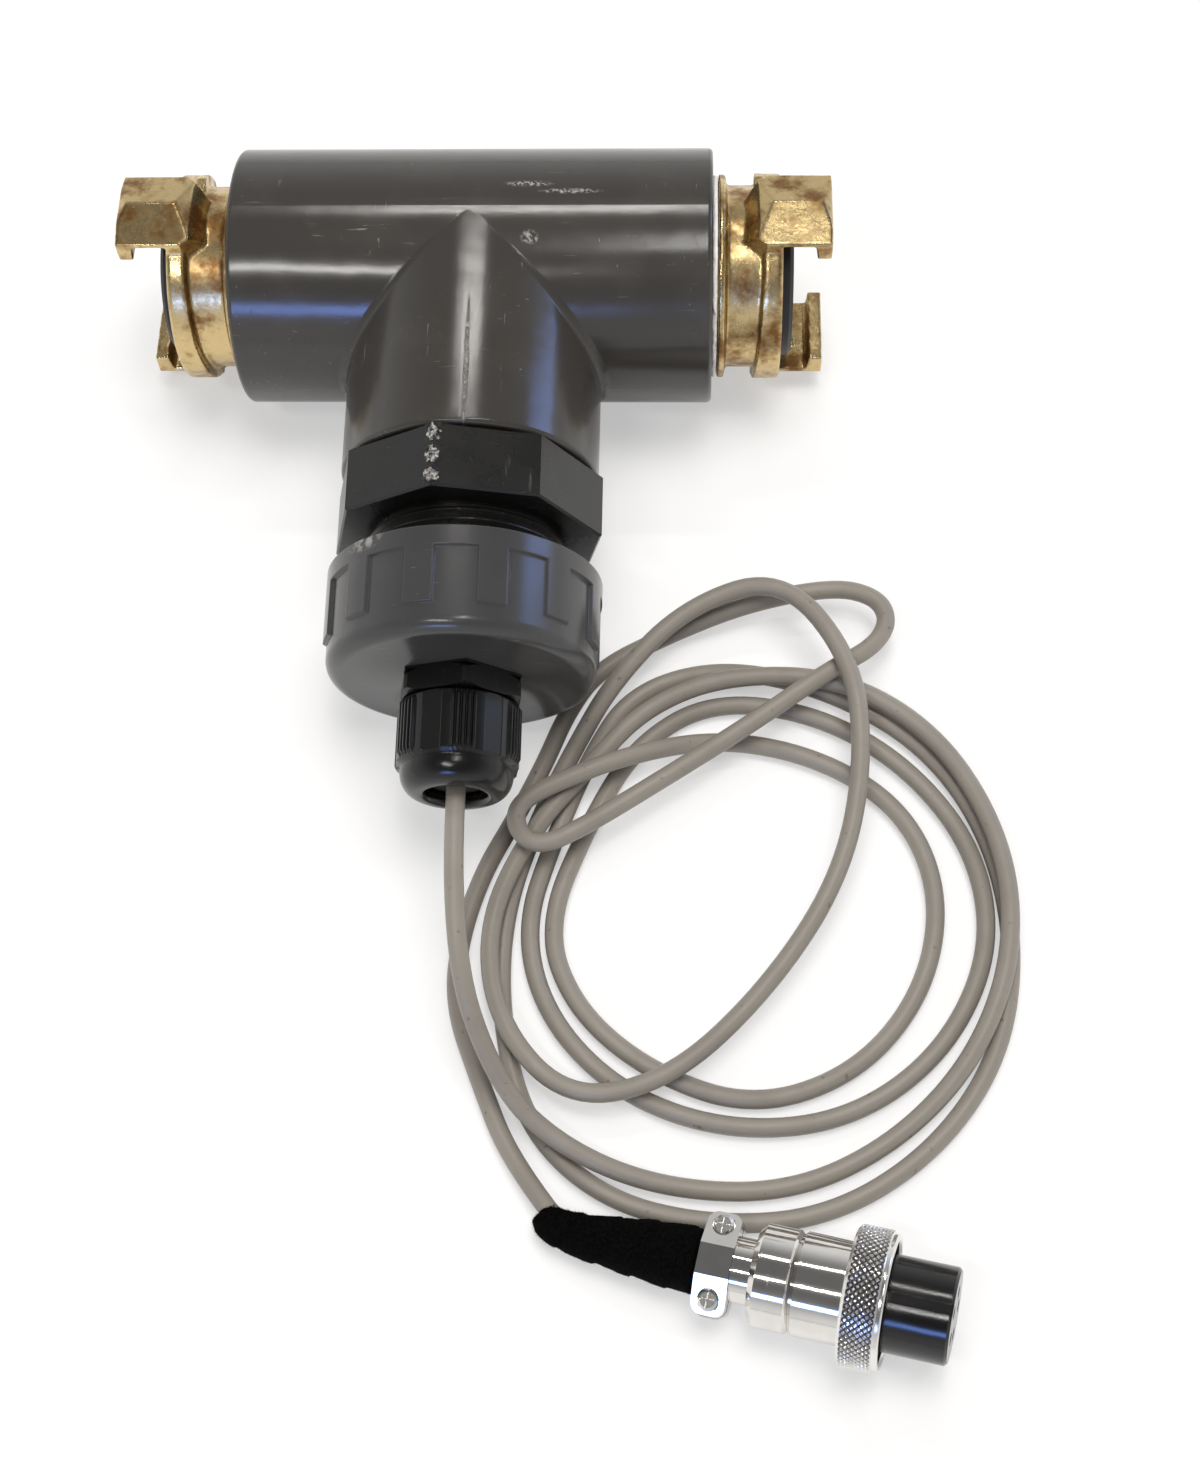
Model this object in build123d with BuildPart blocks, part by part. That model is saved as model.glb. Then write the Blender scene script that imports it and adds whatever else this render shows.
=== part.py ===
"""In-line water flow sensor: a PVC tee with two brass claw hose couplings in its run, and a
paddle-wheel probe in its branch under a screw cap, whose cable ends in a circular plug.

Frame: X along the run, the branch points to -Y, +Z up. The origin is on the surface that the
fitting lies on, under the middle of the fitting, with the cable and its plug left out.
"""
import os
from math import atan2, cos, degrees, hypot, pi, radians, sin, tan

from build123d import *

os.makedirs("parts", exist_ok=True)

# ---- Driving dimensions, mm ------------------------------------------------------------
FIT = 0.1            # radial clearance of a joint within one body
RUN_FIT = 0.3        # radial clearance between pieces that turn or slide

# tee, solvent-cement size 50
TEE_D = 62.0
RUN_HALF = 58.0      # crossing of the axes to each end of the run
BRANCH_LEN = 58.0    # crossing of the axes to the end of the branch
SOCKET_D = 50.0
SOCKET_DEPTH = 31.0
TEE_BORE = 43.0
TEE_EDGE = 1.2       # rounding of the three mouths
SADDLE_FILLET = 2.5

# claw coupling, G 1 1/4 male
HOSE_THREAD_D = 41.9
HOSE_THREAD_LEN = 18.0
HOSE_BORE = 30.0
COLLAR_D = 49.4
COLLAR_LEN = 1.6
BARREL_D = 44.2
FLANGE_D = 49.8
FLANGE_BACK = 10.8   # from the back of the collar
FLANGE_LEN = 4.6
RAMP_RISE = 2.4      # height of the locking ramp on the back of the flange
CLAW_TIP = 27.0      # from the back of the collar
CLAW_R = 28.9        # height of the claw's ridge
CLAW_ARM = 4.4       # thickness of the claw's arm
CLAW_WIDE = 21.0
CLAW_LIP = 3.4       # thickness of the lip at the claw's tip
LIP_R = 20.0         # half of the 40 mm between the two lips
CLAW_TURN = 5.0      # lean of the upper claw away from the branch, degrees
RIGHT_OUT = 1.4      # how far each collar stands off the mouth of the tee
LEFT_OUT = 0.2
SEAL_D = 38.6
SEAL_OUT = 2.8       # how far the seal stands proud of the flange
SEAL_BORE = 28.0
TAPE_D = 48.4

# nipple in the branch
OCTAGON_AF = 60.5
OCTAGON_LEN = 16.0
OCTAGON_GAP = 0.6    # from the mouth of the branch
OCTAGON_TURN = 9.7
CAP_THREAD_D = 47.8  # G 1 1/2
CAP_PITCH = 2.309
NIPPLE_END = 93.64   # crossing of the axes to the end of the thread: four turns are in the cap
NIPPLE_BORE = 36.0
NIPPLE_LEDGE = 64.0
NIPPLE_SMALL_BORE = 28.0

# screw cap
CAP_D = 65.0
CAP_RIM = 84.4       # crossing of the axes to the rim
CAP_FACE = 109.8     # ... and to the end face
CAP_FLOOR = 4.5
CAP_EDGE = 3.6
CAP_RELIEF = 0.9
CAP_BAND = 5.0       # plain raised band beside the rim
TAB_LEN = 13.6
TAB_WIDE = 7.0
TABS = 12
NOTCH_TURN = 2.0     # degrees from the top to the middle of the nearest notch

# cable gland
GLAND_AF = 27.0
GLAND_HEX_LEN = 6.0
GLAND_THREAD_D = 20.0
GLAND_TURN = 10.0
NECK_THREAD_D = 22.0
NECK_LEN = 8.5
NUT_D = 30.0
NUT_PITCH = 1.5
NUT_RIBBED = 15.2    # length of the ribbed part
NUT_LEN = 21.6
NUT_HOLE = 14.4
RIBS_PER_CORNER = 5
RIB_PITCH = 4.9      # degrees

# probe
STEM_D = 24.0
STEM_TIP = 6.0       # crossing of the axes to the end of the fork
AXLE_AT = 14.0       # ... and to the axle
AXLE_D = 2.0
ROTOR_D = 21.0
ROTOR_WIDE = 9.0
FORK_SLOT = 10.4
STEM_BORE = 14.0
STEM_BORE_END = 29.0
BLADES = 4
BLADE_T = 3.4
MAGNET_D = 2.0

# cable and plug
CABLE_D = 4.5
SLEEVE_START_D = 7.4
SLEEVE_END_D = 15.2
SLEEVE_LEN = 35.0
RING_D = 30.6
RING_LEN = 9.2
SHELL_D = 22.6
INSERT_D = 21.0
PLUG_LEN = 56.0      # clamp to nose
CONTACTS = 5

# ---- Frames ----------------------------------------------------------------------------
right_reach = RUN_HALF + RIGHT_OUT + CLAW_TIP
left_reach = RUN_HALF + LEFT_OUT + CLAW_TIP
hex_front = CAP_FACE + GLAND_HEX_LEN
nut_back = hex_front + 0.3
gland_end = nut_back + NUT_LEN
CROSS = Vector((left_reach - right_reach) / 2, (gland_end - TEE_D / 2) / 2, CAP_D / 2)

lean = radians(CLAW_TURN)
claw_way = (0, sin(lean), cos(lean))
RIGHT = Plane(origin=CROSS + Vector(RUN_HALF, 0, 0), x_dir=claw_way, z_dir=(1, 0, 0))
LEFT = Plane(origin=CROSS - Vector(RUN_HALF, 0, 0), x_dir=claw_way, z_dir=(-1, 0, 0))
BRANCH = Plane(origin=CROSS, x_dir=(0, 0, 1), z_dir=(0, -1, 0))   # local y is -X
RUN = Plane(origin=CROSS, x_dir=(0, 0, 1), z_dir=(1, 0, 0))

PLUG_AT = Vector(56.2, -184.6, 10.1)          # middle of the clamp's back
PLUG_WAY = Vector(54.5, -11.8, 8.6)           # towards the nose
PLUG = Plane(origin=PLUG_AT, x_dir=PLUG_WAY.cross(Vector(0, 0, 1)).cross(PLUG_WAY), z_dir=PLUG_WAY)


def lengthwise(frame):
    """The plane through a frame's axis, with x outwards and y along the axis."""
    return Plane(origin=frame.origin, x_dir=frame.x_dir, z_dir=-frame.y_dir)


def spin(frame, outline, mode=Mode.ADD):
    """Turn an outline of (radius, station) points about a frame's axis, in the open part."""
    with BuildSketch(lengthwise(frame)) as half:
        with BuildLine():
            Polyline(*outline, close=True)
        make_face()
    revolve(half.sketch, axis=Axis(frame.origin, frame.z_dir), mode=mode)


def tube(inner, outer, start, end):
    return [(inner, start), (outer, start), (outer, end), (inner, end)]


def disc(radius, start, end):
    return tube(0, radius, start, end)


def save(builder, name):
    builder.part.label = name
    export_step(builder.part, f"parts/{name}.step")


# ---- Tee -------------------------------------------------------------------------------
with BuildPart() as tee_body:
    with BuildSketch(RUN.offset(-RUN_HALF)):
        Circle(TEE_D / 2)
    extrude(amount=2 * RUN_HALF)
    with BuildSketch(BRANCH):
        Circle(TEE_D / 2 - 0.02)
    extrude(amount=BRANCH_LEN)
    saddle = tee_body.edges().filter_by(lambda e: e.geom_type not in (GeomType.CIRCLE, GeomType.LINE))
    fillet(saddle, SADDLE_FILLET)
    fillet(tee_body.edges().filter_by(GeomType.CIRCLE).filter_by(
        lambda e: e.length > 0.95 * pi * TEE_D), TEE_EDGE)
    spin(RUN, disc(TEE_BORE / 2, -RUN_HALF, RUN_HALF), Mode.SUBTRACT)
    spin(BRANCH, disc(TEE_BORE / 2 - 0.02, 0, BRANCH_LEN), Mode.SUBTRACT)
    for mouth in (RIGHT, LEFT, BRANCH.offset(BRANCH_LEN)):
        spin(mouth, disc(SOCKET_D / 2, -SOCKET_DEPTH, 0), Mode.SUBTRACT)
save(tee_body, "tee_body")


# ---- Bushes and claw couplings in the run ----------------------------------------------
def bush(frame, name):
    with BuildPart() as reducer:
        spin(frame, tube(HOSE_THREAD_D / 2 + FIT, SOCKET_D / 2 - FIT / 2, -SOCKET_DEPTH, -0.2))
        chamfer(reducer.faces().sort_by(Axis(frame.origin, frame.z_dir))[-1].edges(), 0.6)
    save(reducer, name)


def ramp(collar):
    """One locking ramp on the back of the flange, from nothing up to RAMP_RISE."""
    slope = degrees(atan2(RAMP_RISE, FLANGE_D * 0.8))
    back = collar.offset(FLANGE_BACK)
    with BuildPart() as wedge:
        with BuildSketch(back):
            with Locations((0, FLANGE_D / 2)):
                Rectangle(FLANGE_D * 0.8, FLANGE_D)
            Circle(FLANGE_D / 2, mode=Mode.INTERSECT)
            Circle(BARREL_D / 2 - 0.5, mode=Mode.SUBTRACT)
        extrude(amount=-RAMP_RISE)
        split(bisect_by=back.offset(-RAMP_RISE / 2).rotated((0, slope, 0)), keep=Keep.TOP)
    return wedge.part


def claw(collar):
    """One claw: a neck off the barrel, an arm over the flange and a lip turned inwards."""
    arm_r = CLAW_R - CLAW_ARM
    side = [(BARREL_D / 2 - 2, 5.2), (CLAW_R - 2.4, 9.6), (CLAW_R, 13.0), (CLAW_R, CLAW_TIP - 2.2),
            (CLAW_R - 1.8, CLAW_TIP), (LIP_R, CLAW_TIP), (LIP_R, CLAW_TIP - CLAW_LIP),
            (arm_r, CLAW_TIP - CLAW_LIP - 0.5), (arm_r, FLANGE_BACK + FLANGE_LEN - 0.4),
            (BARREL_D / 2 - 2, FLANGE_BACK + FLANGE_LEN - 0.4)]
    half = CLAW_WIDE / 2
    section = [(LIP_R - 3, -half), (CLAW_R - 3.2, -half), (CLAW_R, 0), (CLAW_R - 3.2, half), (LIP_R - 3, half)]
    above = Plane(origin=collar.origin, x_dir=collar.z_dir, z_dir=collar.x_dir)
    plan = [(5, -5.5), (11.5, -half), (CLAW_TIP, -half), (CLAW_TIP, half), (11.5, half), (5, 5.5)]
    with BuildPart() as hook:
        with BuildSketch(lengthwise(collar)):
            Polygon(*side, align=None)
        extrude(amount=half, both=True)
        with BuildSketch(collar):
            Polygon(*section, align=None)
        extrude(amount=CLAW_TIP, mode=Mode.INTERSECT)
        with BuildSketch(above):
            Polygon(*plan, align=None)
        extrude(amount=CLAW_R, mode=Mode.INTERSECT)
    return hook.part


def coupling(frame, out, name):
    collar = frame.offset(out)
    body_r, flange_end = BARREL_D / 2, FLANGE_BACK + FLANGE_LEN
    hook, wedge = claw(collar), ramp(collar)
    with BuildPart() as brass:
        spin(collar, [(HOSE_BORE / 2, -HOSE_THREAD_LEN), (HOSE_THREAD_D / 2 - 0.8, -HOSE_THREAD_LEN),
                      (HOSE_THREAD_D / 2, -HOSE_THREAD_LEN + 1.2), (HOSE_THREAD_D / 2, 0), (COLLAR_D / 2, 0),
                      (COLLAR_D / 2, COLLAR_LEN), (body_r, COLLAR_LEN + 0.5), (body_r, FLANGE_BACK),
                      (FLANGE_D / 2 - 0.4, FLANGE_BACK), (FLANGE_D / 2, FLANGE_BACK + 0.5),
                      (FLANGE_D / 2, flange_end - 0.6), (FLANGE_D / 2 - 0.6, flange_end), (HOSE_BORE / 2, flange_end)])
        for half_turn in (0, 180):
            add(hook.rotate(Axis(collar.origin, collar.z_dir), half_turn))
            add(wedge.rotate(Axis(collar.origin, collar.z_dir), half_turn))
        # groove that holds the seal
        spin(collar, tube(HOSE_BORE / 2 - 1, SEAL_D / 2 - 1.2, flange_end - 3.6, flange_end - 1.4), Mode.SUBTRACT)
        spin(collar, tube(HOSE_BORE / 2 - 1, SEAL_D / 2 - 2.4, flange_end - 1.5, flange_end + 0.1), Mode.SUBTRACT)
    save(brass, name)


def seal(frame, out, name):
    front = frame.offset(out + FLANGE_BACK + FLANGE_LEN)
    bore, neck, foot = SEAL_BORE / 2, SEAL_D / 2 - 2.5, SEAL_D / 2 - 1.3
    with BuildPart() as ring:
        spin(front, [(bore, -3.5), (foot, -3.5), (foot, -1.5), (neck, -1.5), (neck, 0.1), (SEAL_D / 2, 0.1),
                     (SEAL_D / 2 - 0.3, SEAL_OUT - 0.9), (SEAL_D / 2 - 1.3, SEAL_OUT), (bore + 1.6, SEAL_OUT),
                     (bore, SEAL_OUT - 1.0)])
    save(ring, name)


bush(RIGHT, "bush_right")
bush(LEFT, "bush_left")
coupling(RIGHT, RIGHT_OUT, "coupling_right")
coupling(LEFT, LEFT_OUT, "coupling_left")
seal(RIGHT, RIGHT_OUT, "seal_right")
seal(LEFT, LEFT_OUT, "seal_left")

# sealing tape squeezed out between the right collar and its bush
with BuildPart() as tape_right:
    spin(RIGHT, [(HOSE_THREAD_D / 2 + 0.05, -0.05), (TAPE_D / 2 - 0.6, -0.05), (TAPE_D / 2, 0.4),
                 (TAPE_D / 2 - 0.3, RIGHT_OUT), (HOSE_THREAD_D / 2 + 0.05, RIGHT_OUT)])
save(tape_right, "tape_right")

# ---- Nipple in the branch --------------------------------------------------------------
octagon_start = BRANCH_LEN + OCTAGON_GAP
octagon_end = octagon_start + OCTAGON_LEN
thread_start = octagon_end + 0.6
crests = int((NIPPLE_END - thread_start) / CAP_PITCH)
thread_depth = 1.1
with BuildPart() as nipple:
    with BuildSketch(BRANCH.offset(octagon_start)):
        RegularPolygon(OCTAGON_AF / 2, 8, major_radius=False, rotation=OCTAGON_TURN)
    extrude(amount=OCTAGON_LEN)
    chamfer(nipple.faces().filter_by(Axis.Y).edges(), 0.5)
    thread = [(NIPPLE_BORE / 2 - 1, octagon_end - 1), (CAP_THREAD_D / 2 - thread_depth, octagon_end - 1)]
    for turn in range(crests):
        low = thread_start + turn * CAP_PITCH
        thread += [(CAP_THREAD_D / 2 - thread_depth, low), (CAP_THREAD_D / 2, low + 0.45 * CAP_PITCH),
                   (CAP_THREAD_D / 2, low + 0.6 * CAP_PITCH)]
    thread += [(CAP_THREAD_D / 2 - thread_depth, thread_start + crests * CAP_PITCH),
               (CAP_THREAD_D / 2 - thread_depth, NIPPLE_END), (NIPPLE_BORE / 2 - 1, NIPPLE_END)]
    spin(BRANCH, thread)
    spin(BRANCH, tube(NIPPLE_SMALL_BORE / 2, SOCKET_D / 2 - FIT / 2, BRANCH_LEN - SOCKET_DEPTH + 0.5, octagon_start + 1))
    spin(BRANCH, disc(NIPPLE_SMALL_BORE / 2, BRANCH_LEN - SOCKET_DEPTH, NIPPLE_LEDGE), Mode.SUBTRACT)
    spin(BRANCH, disc(NIPPLE_BORE / 2, NIPPLE_LEDGE, NIPPLE_END), Mode.SUBTRACT)
save(nipple, "nipple")

# ---- Probe: head, stem and fork --------------------------------------------------------
head_r = NIPPLE_BORE / 2 - FIT
brim_r = CAP_THREAD_D / 2 - thread_depth - 1
brim_end = NIPPLE_END + 2.5
RING_AT = (70.0, 80.0)   # stations of the two O-rings
O_RING = 2.4
slot_end = AXLE_AT + ROTOR_D / 2 + 0.9
with BuildPart() as probe:
    spin(BRANCH, disc(STEM_D / 2, STEM_TIP, NIPPLE_LEDGE + 1))
    spin(BRANCH, disc(head_r, NIPPLE_LEDGE + 0.2, NIPPLE_END + 0.1))
    spin(BRANCH, disc(brim_r, NIPPLE_END + 0.1, brim_end))
    for station in RING_AT:
        spin(BRANCH, tube(head_r - O_RING + 0.3, head_r + 1, station, station + O_RING + 0.4), Mode.SUBTRACT)
    spin(BRANCH, disc(STEM_BORE / 2, STEM_BORE_END, brim_end), Mode.SUBTRACT)
    with BuildSketch(BRANCH.offset(STEM_TIP - 1)):
        Rectangle(FORK_SLOT, STEM_D + 2)
    extrude(amount=slot_end - STEM_TIP + 1, mode=Mode.SUBTRACT)
    with BuildSketch(Plane.XY.offset(CROSS.Z - STEM_D)):
        with Locations((CROSS.X, CROSS.Y - AXLE_AT)):
            Circle(AXLE_D / 2 + 0.03)
    extrude(amount=2 * STEM_D, mode=Mode.SUBTRACT)
save(probe, "probe_stem")

for number, station in enumerate(RING_AT, 1):
    middle = BRANCH.offset(station + O_RING / 2 + 0.2)
    with BuildPart() as o_ring:
        with BuildSketch(lengthwise(middle)):
            with Locations((head_r - O_RING / 2 + 0.35, 0)):
                Circle(O_RING / 2 - 0.05)
        revolve(axis=Axis(middle.origin, middle.z_dir))
        spin(BRANCH, tube(head_r + 0.05, head_r + 2, station, station + O_RING + 0.4), Mode.SUBTRACT)
    save(o_ring, f"probe_o_ring_{number}")

AXLE = Plane(origin=CROSS - Vector(0, AXLE_AT, 0), x_dir=(1, 0, 0), z_dir=(0, 0, 1))
axle_half = STEM_D / 2 - 1.6
with BuildPart() as axle:
    spin(AXLE, disc(AXLE_D / 2, -axle_half, axle_half))
save(axle, "rotor_axle")

# ---- Paddle wheel ----------------------------------------------------------------------
hub_r = 3.8
magnet_r = ROTOR_D / 2 - 2.6
with BuildPart() as rotor:
    with BuildSketch(AXLE.offset(-ROTOR_WIDE / 2)):
        Circle(hub_r)
        with PolarLocations(ROTOR_D / 4 + 0.5, BLADES):
            Rectangle(ROTOR_D / 2 - 1, BLADE_T)
        Circle(ROTOR_D / 2, mode=Mode.INTERSECT)
        Circle(AXLE_D / 2 + 0.06, mode=Mode.SUBTRACT)
        with PolarLocations(magnet_r, BLADES):
            Circle(MAGNET_D / 2 + 0.03, mode=Mode.SUBTRACT)
    extrude(amount=ROTOR_WIDE)
save(rotor, "paddle_wheel")

with BuildPart() as magnets:
    with BuildSketch(AXLE.offset(-ROTOR_WIDE / 2 + 1)):
        with PolarLocations(magnet_r, BLADES):
            Circle(MAGNET_D / 2)
    extrude(amount=ROTOR_WIDE - 2)
save(magnets, "rotor_magnets")

# ---- Electronics in the stem -----------------------------------------------------------
BOARD_END = 76.0
BOARD_T = 1.2
board_start = STEM_BORE_END + 0.6
board_wide = STEM_BORE - 2.4
with BuildPart() as board:
    with BuildSketch(BRANCH.offset(board_start)):
        Rectangle(BOARD_T, board_wide)
    extrude(amount=BOARD_END - board_start)
save(board, "sensor_board")

with BuildPart() as chip:
    with BuildSketch(BRANCH.offset(board_start + 0.5)):
        with Locations((BOARD_T / 2 + 0.75, 0)):
            Rectangle(1.5, 4.1)
    extrude(amount=3.0)
save(chip, "hall_chip")

potting_start = BOARD_END + 4.0
with BuildPart() as potting:
    spin(BRANCH, tube(CABLE_D / 2 + 0.02, STEM_BORE / 2 - 0.02, potting_start, NIPPLE_END))
save(potting, "potting")

cable_start = BOARD_END + 2.0
with BuildPart() as leads:
    with BuildSketch(BRANCH.offset(BOARD_END - 4)):
        with Locations((BOARD_T / 2 + 0.5, -1.3), (BOARD_T / 2 + 0.5, 0), (BOARD_T / 2 + 0.5, 1.3)):
            Circle(0.45)
    extrude(amount=cable_start - BOARD_END + 4)
save(leads, "board_leads")

with BuildPart() as inner_cable:
    spin(BRANCH, disc(CABLE_D / 2, cable_start, gland_end))
save(inner_cable, "cable_inside")

# ---- Screw cap -------------------------------------------------------------------------
cap_r = CAP_D / 2
thread_r = CAP_THREAD_D / 2 + RUN_FIT
gasket_start = brim_end + 0.1
GASKET = 2.0
shoulder = gasket_start + GASKET + 0.1
recess_r = 19.0
low_r = cap_r - CAP_RELIEF
with BuildPart() as cap:
    spin(BRANCH, [(thread_r, CAP_RIM), (low_r, CAP_RIM), (low_r, CAP_FACE), (0, CAP_FACE), (0, CAP_FACE - CAP_FLOOR),
                  (recess_r, CAP_FACE - CAP_FLOOR), (recess_r, shoulder), (thread_r, shoulder)])
    fillet(cap.edges().filter_by(GeomType.CIRCLE).sort_by(Axis.Y)[0:1], CAP_EDGE)
    spin(BRANCH, [(low_r - 1, CAP_RIM), (cap_r - 0.5, CAP_RIM), (cap_r, CAP_RIM + 0.5), (cap_r, CAP_RIM + CAP_BAND),
                  (low_r - 1, CAP_RIM + CAP_BAND)])
    with BuildSketch(BRANCH.offset(CAP_RIM + CAP_BAND - 0.1)):
        with PolarLocations(cap_r - 1.5, TABS, start_angle=180 / TABS - NOTCH_TURN):
            Rectangle(4, TAB_WIDE)
        Circle(cap_r, mode=Mode.INTERSECT)
    extrude(amount=TAB_LEN + 0.1)
    spin(BRANCH, disc(GLAND_THREAD_D / 2 + FIT, CAP_FACE - CAP_FLOOR - 1, CAP_FACE + 1), Mode.SUBTRACT)
save(cap, "screw_cap")

with BuildPart() as gasket:
    spin(BRANCH, tube(recess_r - 0.5, thread_r - 0.4, gasket_start, gasket_start + GASKET))
save(gasket, "cap_gasket")

# ---- Cable gland -----------------------------------------------------------------------
floor_in = CAP_FACE - CAP_FLOOR
locknut_t = 3.4
neck_r = NECK_THREAD_D / 2
petal_end = hex_front + NECK_LEN + 6.5
bore_r = 7.6
corner_turn = -GLAND_TURN
with BuildPart() as gland:
    with BuildSketch(BRANCH.offset(CAP_FACE + 0.02)):
        RegularPolygon(GLAND_AF / 2, 6, major_radius=False, rotation=corner_turn)
    extrude(amount=GLAND_HEX_LEN - 0.02)
    spin(BRANCH, [(0, CAP_FACE), (30, CAP_FACE), (GLAND_AF / 2 + 0.6, CAP_FACE + 0.6), (GLAND_AF / 2 + 1.7, CAP_FACE + 1.6),
                  (GLAND_AF / 2 + 1.7, hex_front - 0.8), (GLAND_AF / 2 + 0.3, hex_front), (0, hex_front)], Mode.INTERSECT)
    spin(BRANCH, disc(GLAND_THREAD_D / 2, floor_in - locknut_t - 0.9, CAP_FACE + 1))
    spin(BRANCH, [(0, hex_front - 1), (neck_r, hex_front - 1), (neck_r, hex_front + NECK_LEN - 0.6),
                  (neck_r - 0.6, hex_front + NECK_LEN), (neck_r - 1.4, hex_front + NECK_LEN), (neck_r - 2.2, petal_end),
                  (0, petal_end)])
    spin(BRANCH, disc(bore_r, floor_in - locknut_t - 1, petal_end), Mode.SUBTRACT)
    with BuildSketch(BRANCH.offset(hex_front + NECK_LEN + 0.4)):       # slots between the petals
        with PolarLocations(neck_r - 2, 10):
            Rectangle(6, 1.0)
    extrude(amount=8, mode=Mode.SUBTRACT)
save(gland, "gland_body")

with BuildPart() as locknut:
    with BuildSketch(BRANCH.offset(floor_in - locknut_t - 0.05)):
        RegularPolygon(13.0, 6, major_radius=False)
        Circle(GLAND_THREAD_D / 2 + 0.05, mode=Mode.SUBTRACT)
    extrude(amount=locknut_t)
save(locknut, "gland_locknut")

grommet_start = hex_front + 5.0
grommet_end = gland_end - 3.2
with BuildPart() as grommet:
    spin(BRANCH, [(CABLE_D / 2 + 0.2, grommet_start), (bore_r - 0.4, grommet_start), (bore_r - 0.4, petal_end - 1.2),
                  (NUT_HOLE / 2 - 0.7, petal_end + 0.6), (NUT_HOLE / 2 - 0.7, grommet_end), (CABLE_D / 2 + 1.6, grommet_end),
                  (CABLE_D / 2 + 0.2, grommet_end - 1.6)])
save(grommet, "gland_grommet")

nut_r = NUT_D / 2
rib_h = 0.75
ribbed_end = nut_back + NUT_RIBBED
with BuildPart() as nut:
    with BuildSketch(BRANCH.offset(nut_back)):
        RegularPolygon(nut_r - rib_h - 0.3, 6, major_radius=False, rotation=corner_turn)
        Circle(nut_r - rib_h, mode=Mode.INTERSECT)
        for corner in range(6):
            for rib in range(RIBS_PER_CORNER):
                turn = corner_turn + 60 * corner + RIB_PITCH * (rib - (RIBS_PER_CORNER - 1) / 2)
                with PolarLocations(nut_r - rib_h - 0.25, 1, start_angle=turn):
                    Rectangle(2 * rib_h + 0.5, 0.65)
        Circle(nut_r, mode=Mode.INTERSECT)
    extrude(amount=NUT_RIBBED)
    spin(BRANCH, [(0, nut_back + 0.8), (nut_r - 0.9, nut_back), (nut_r + 1, nut_back + 2), (nut_r + 1, ribbed_end - 1.4),
                  (nut_r - 1.2, ribbed_end), (0, ribbed_end)], Mode.INTERSECT)
    with BuildSketch(lengthwise(BRANCH)):
        with BuildLine():
            foot, lip = (nut_r - 1.9, ribbed_end), (NUT_HOLE / 2 + 1.1, gland_end)
            Line((0, ribbed_end - 1), (nut_r - 1.9, ribbed_end - 1))
            Line((nut_r - 1.9, ribbed_end - 1), foot)
            Spline(foot, (nut_r - 3.0, ribbed_end + 3.6), lip, tangents=((0, 1), (-1, 0.35)))
            Line(lip, (0, gland_end))
            Line((0, gland_end), (0, ribbed_end - 1))
        make_face()
    revolve(axis=Axis(BRANCH.origin, BRANCH.z_dir))
    spin(BRANCH, [(0, nut_back - 1), (neck_r + RUN_FIT, nut_back - 1), (neck_r + RUN_FIT, hex_front + NECK_LEN + 1.2),
                  (neck_r - 0.9, petal_end + 0.6), (NUT_HOLE / 2 - 0.3, petal_end + 2.6), (NUT_HOLE / 2, gland_end - 1.2),
                  (NUT_HOLE / 2 + 0.5, gland_end + 1), (0, gland_end + 1)], Mode.SUBTRACT)
save(nut, "gland_nut")

# ---- Plug ------------------------------------------------------------------------------
CLAMP_LEN = 7.6
NECK_END = 12.2
SHELL_JOINT = 21.4
RING_START = 32.8
ring_end = RING_START + RING_LEN
shell_r = SHELL_D / 2
cord_r = 4.9                                   # the sleeve where the clamp grips it
LUG = 8.3                                      # axis to each clamp screw
saddle_outline = [(0.3, -LUG - 3), (2.6, -LUG - 3), (7.2, -3.4), (7.2, 3.4), (2.6, LUG + 3), (0.3, LUG + 3)]


def saddle_block(way):
    """Half of the clamp, on the side of local +x (way 1) or -x (way -1)."""
    with BuildSketch(PLUG) as section:
        Polygon(*[(way * x, y) for x, y in saddle_outline], align=None)
        Circle(cord_r + 0.05, mode=Mode.SUBTRACT)
    extrude(section.sketch, amount=CLAMP_LEN)


SCREWS = Plane(origin=PLUG.offset(CLAMP_LEN / 2).origin, x_dir=PLUG.y_dir, z_dir=PLUG.x_dir)

with BuildPart() as clamp_bar:
    saddle_block(1)
    fillet(clamp_bar.edges().filter_by(lambda e: abs(e.tangent_at(0.5).dot(PLUG.x_dir)) > 0.98), 2.4)
    with BuildSketch(SCREWS):
        with Locations((-LUG, 0), (LUG, 0)):
            Circle(1.5)
    extrude(amount=20, mode=Mode.SUBTRACT)
    with BuildSketch(SCREWS.offset(3.4)):
        with Locations((-LUG, 0), (LUG, 0)):
            Circle(2.5)
    extrude(amount=20, mode=Mode.SUBTRACT)
save(clamp_bar, "plug_clamp_bar")

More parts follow.
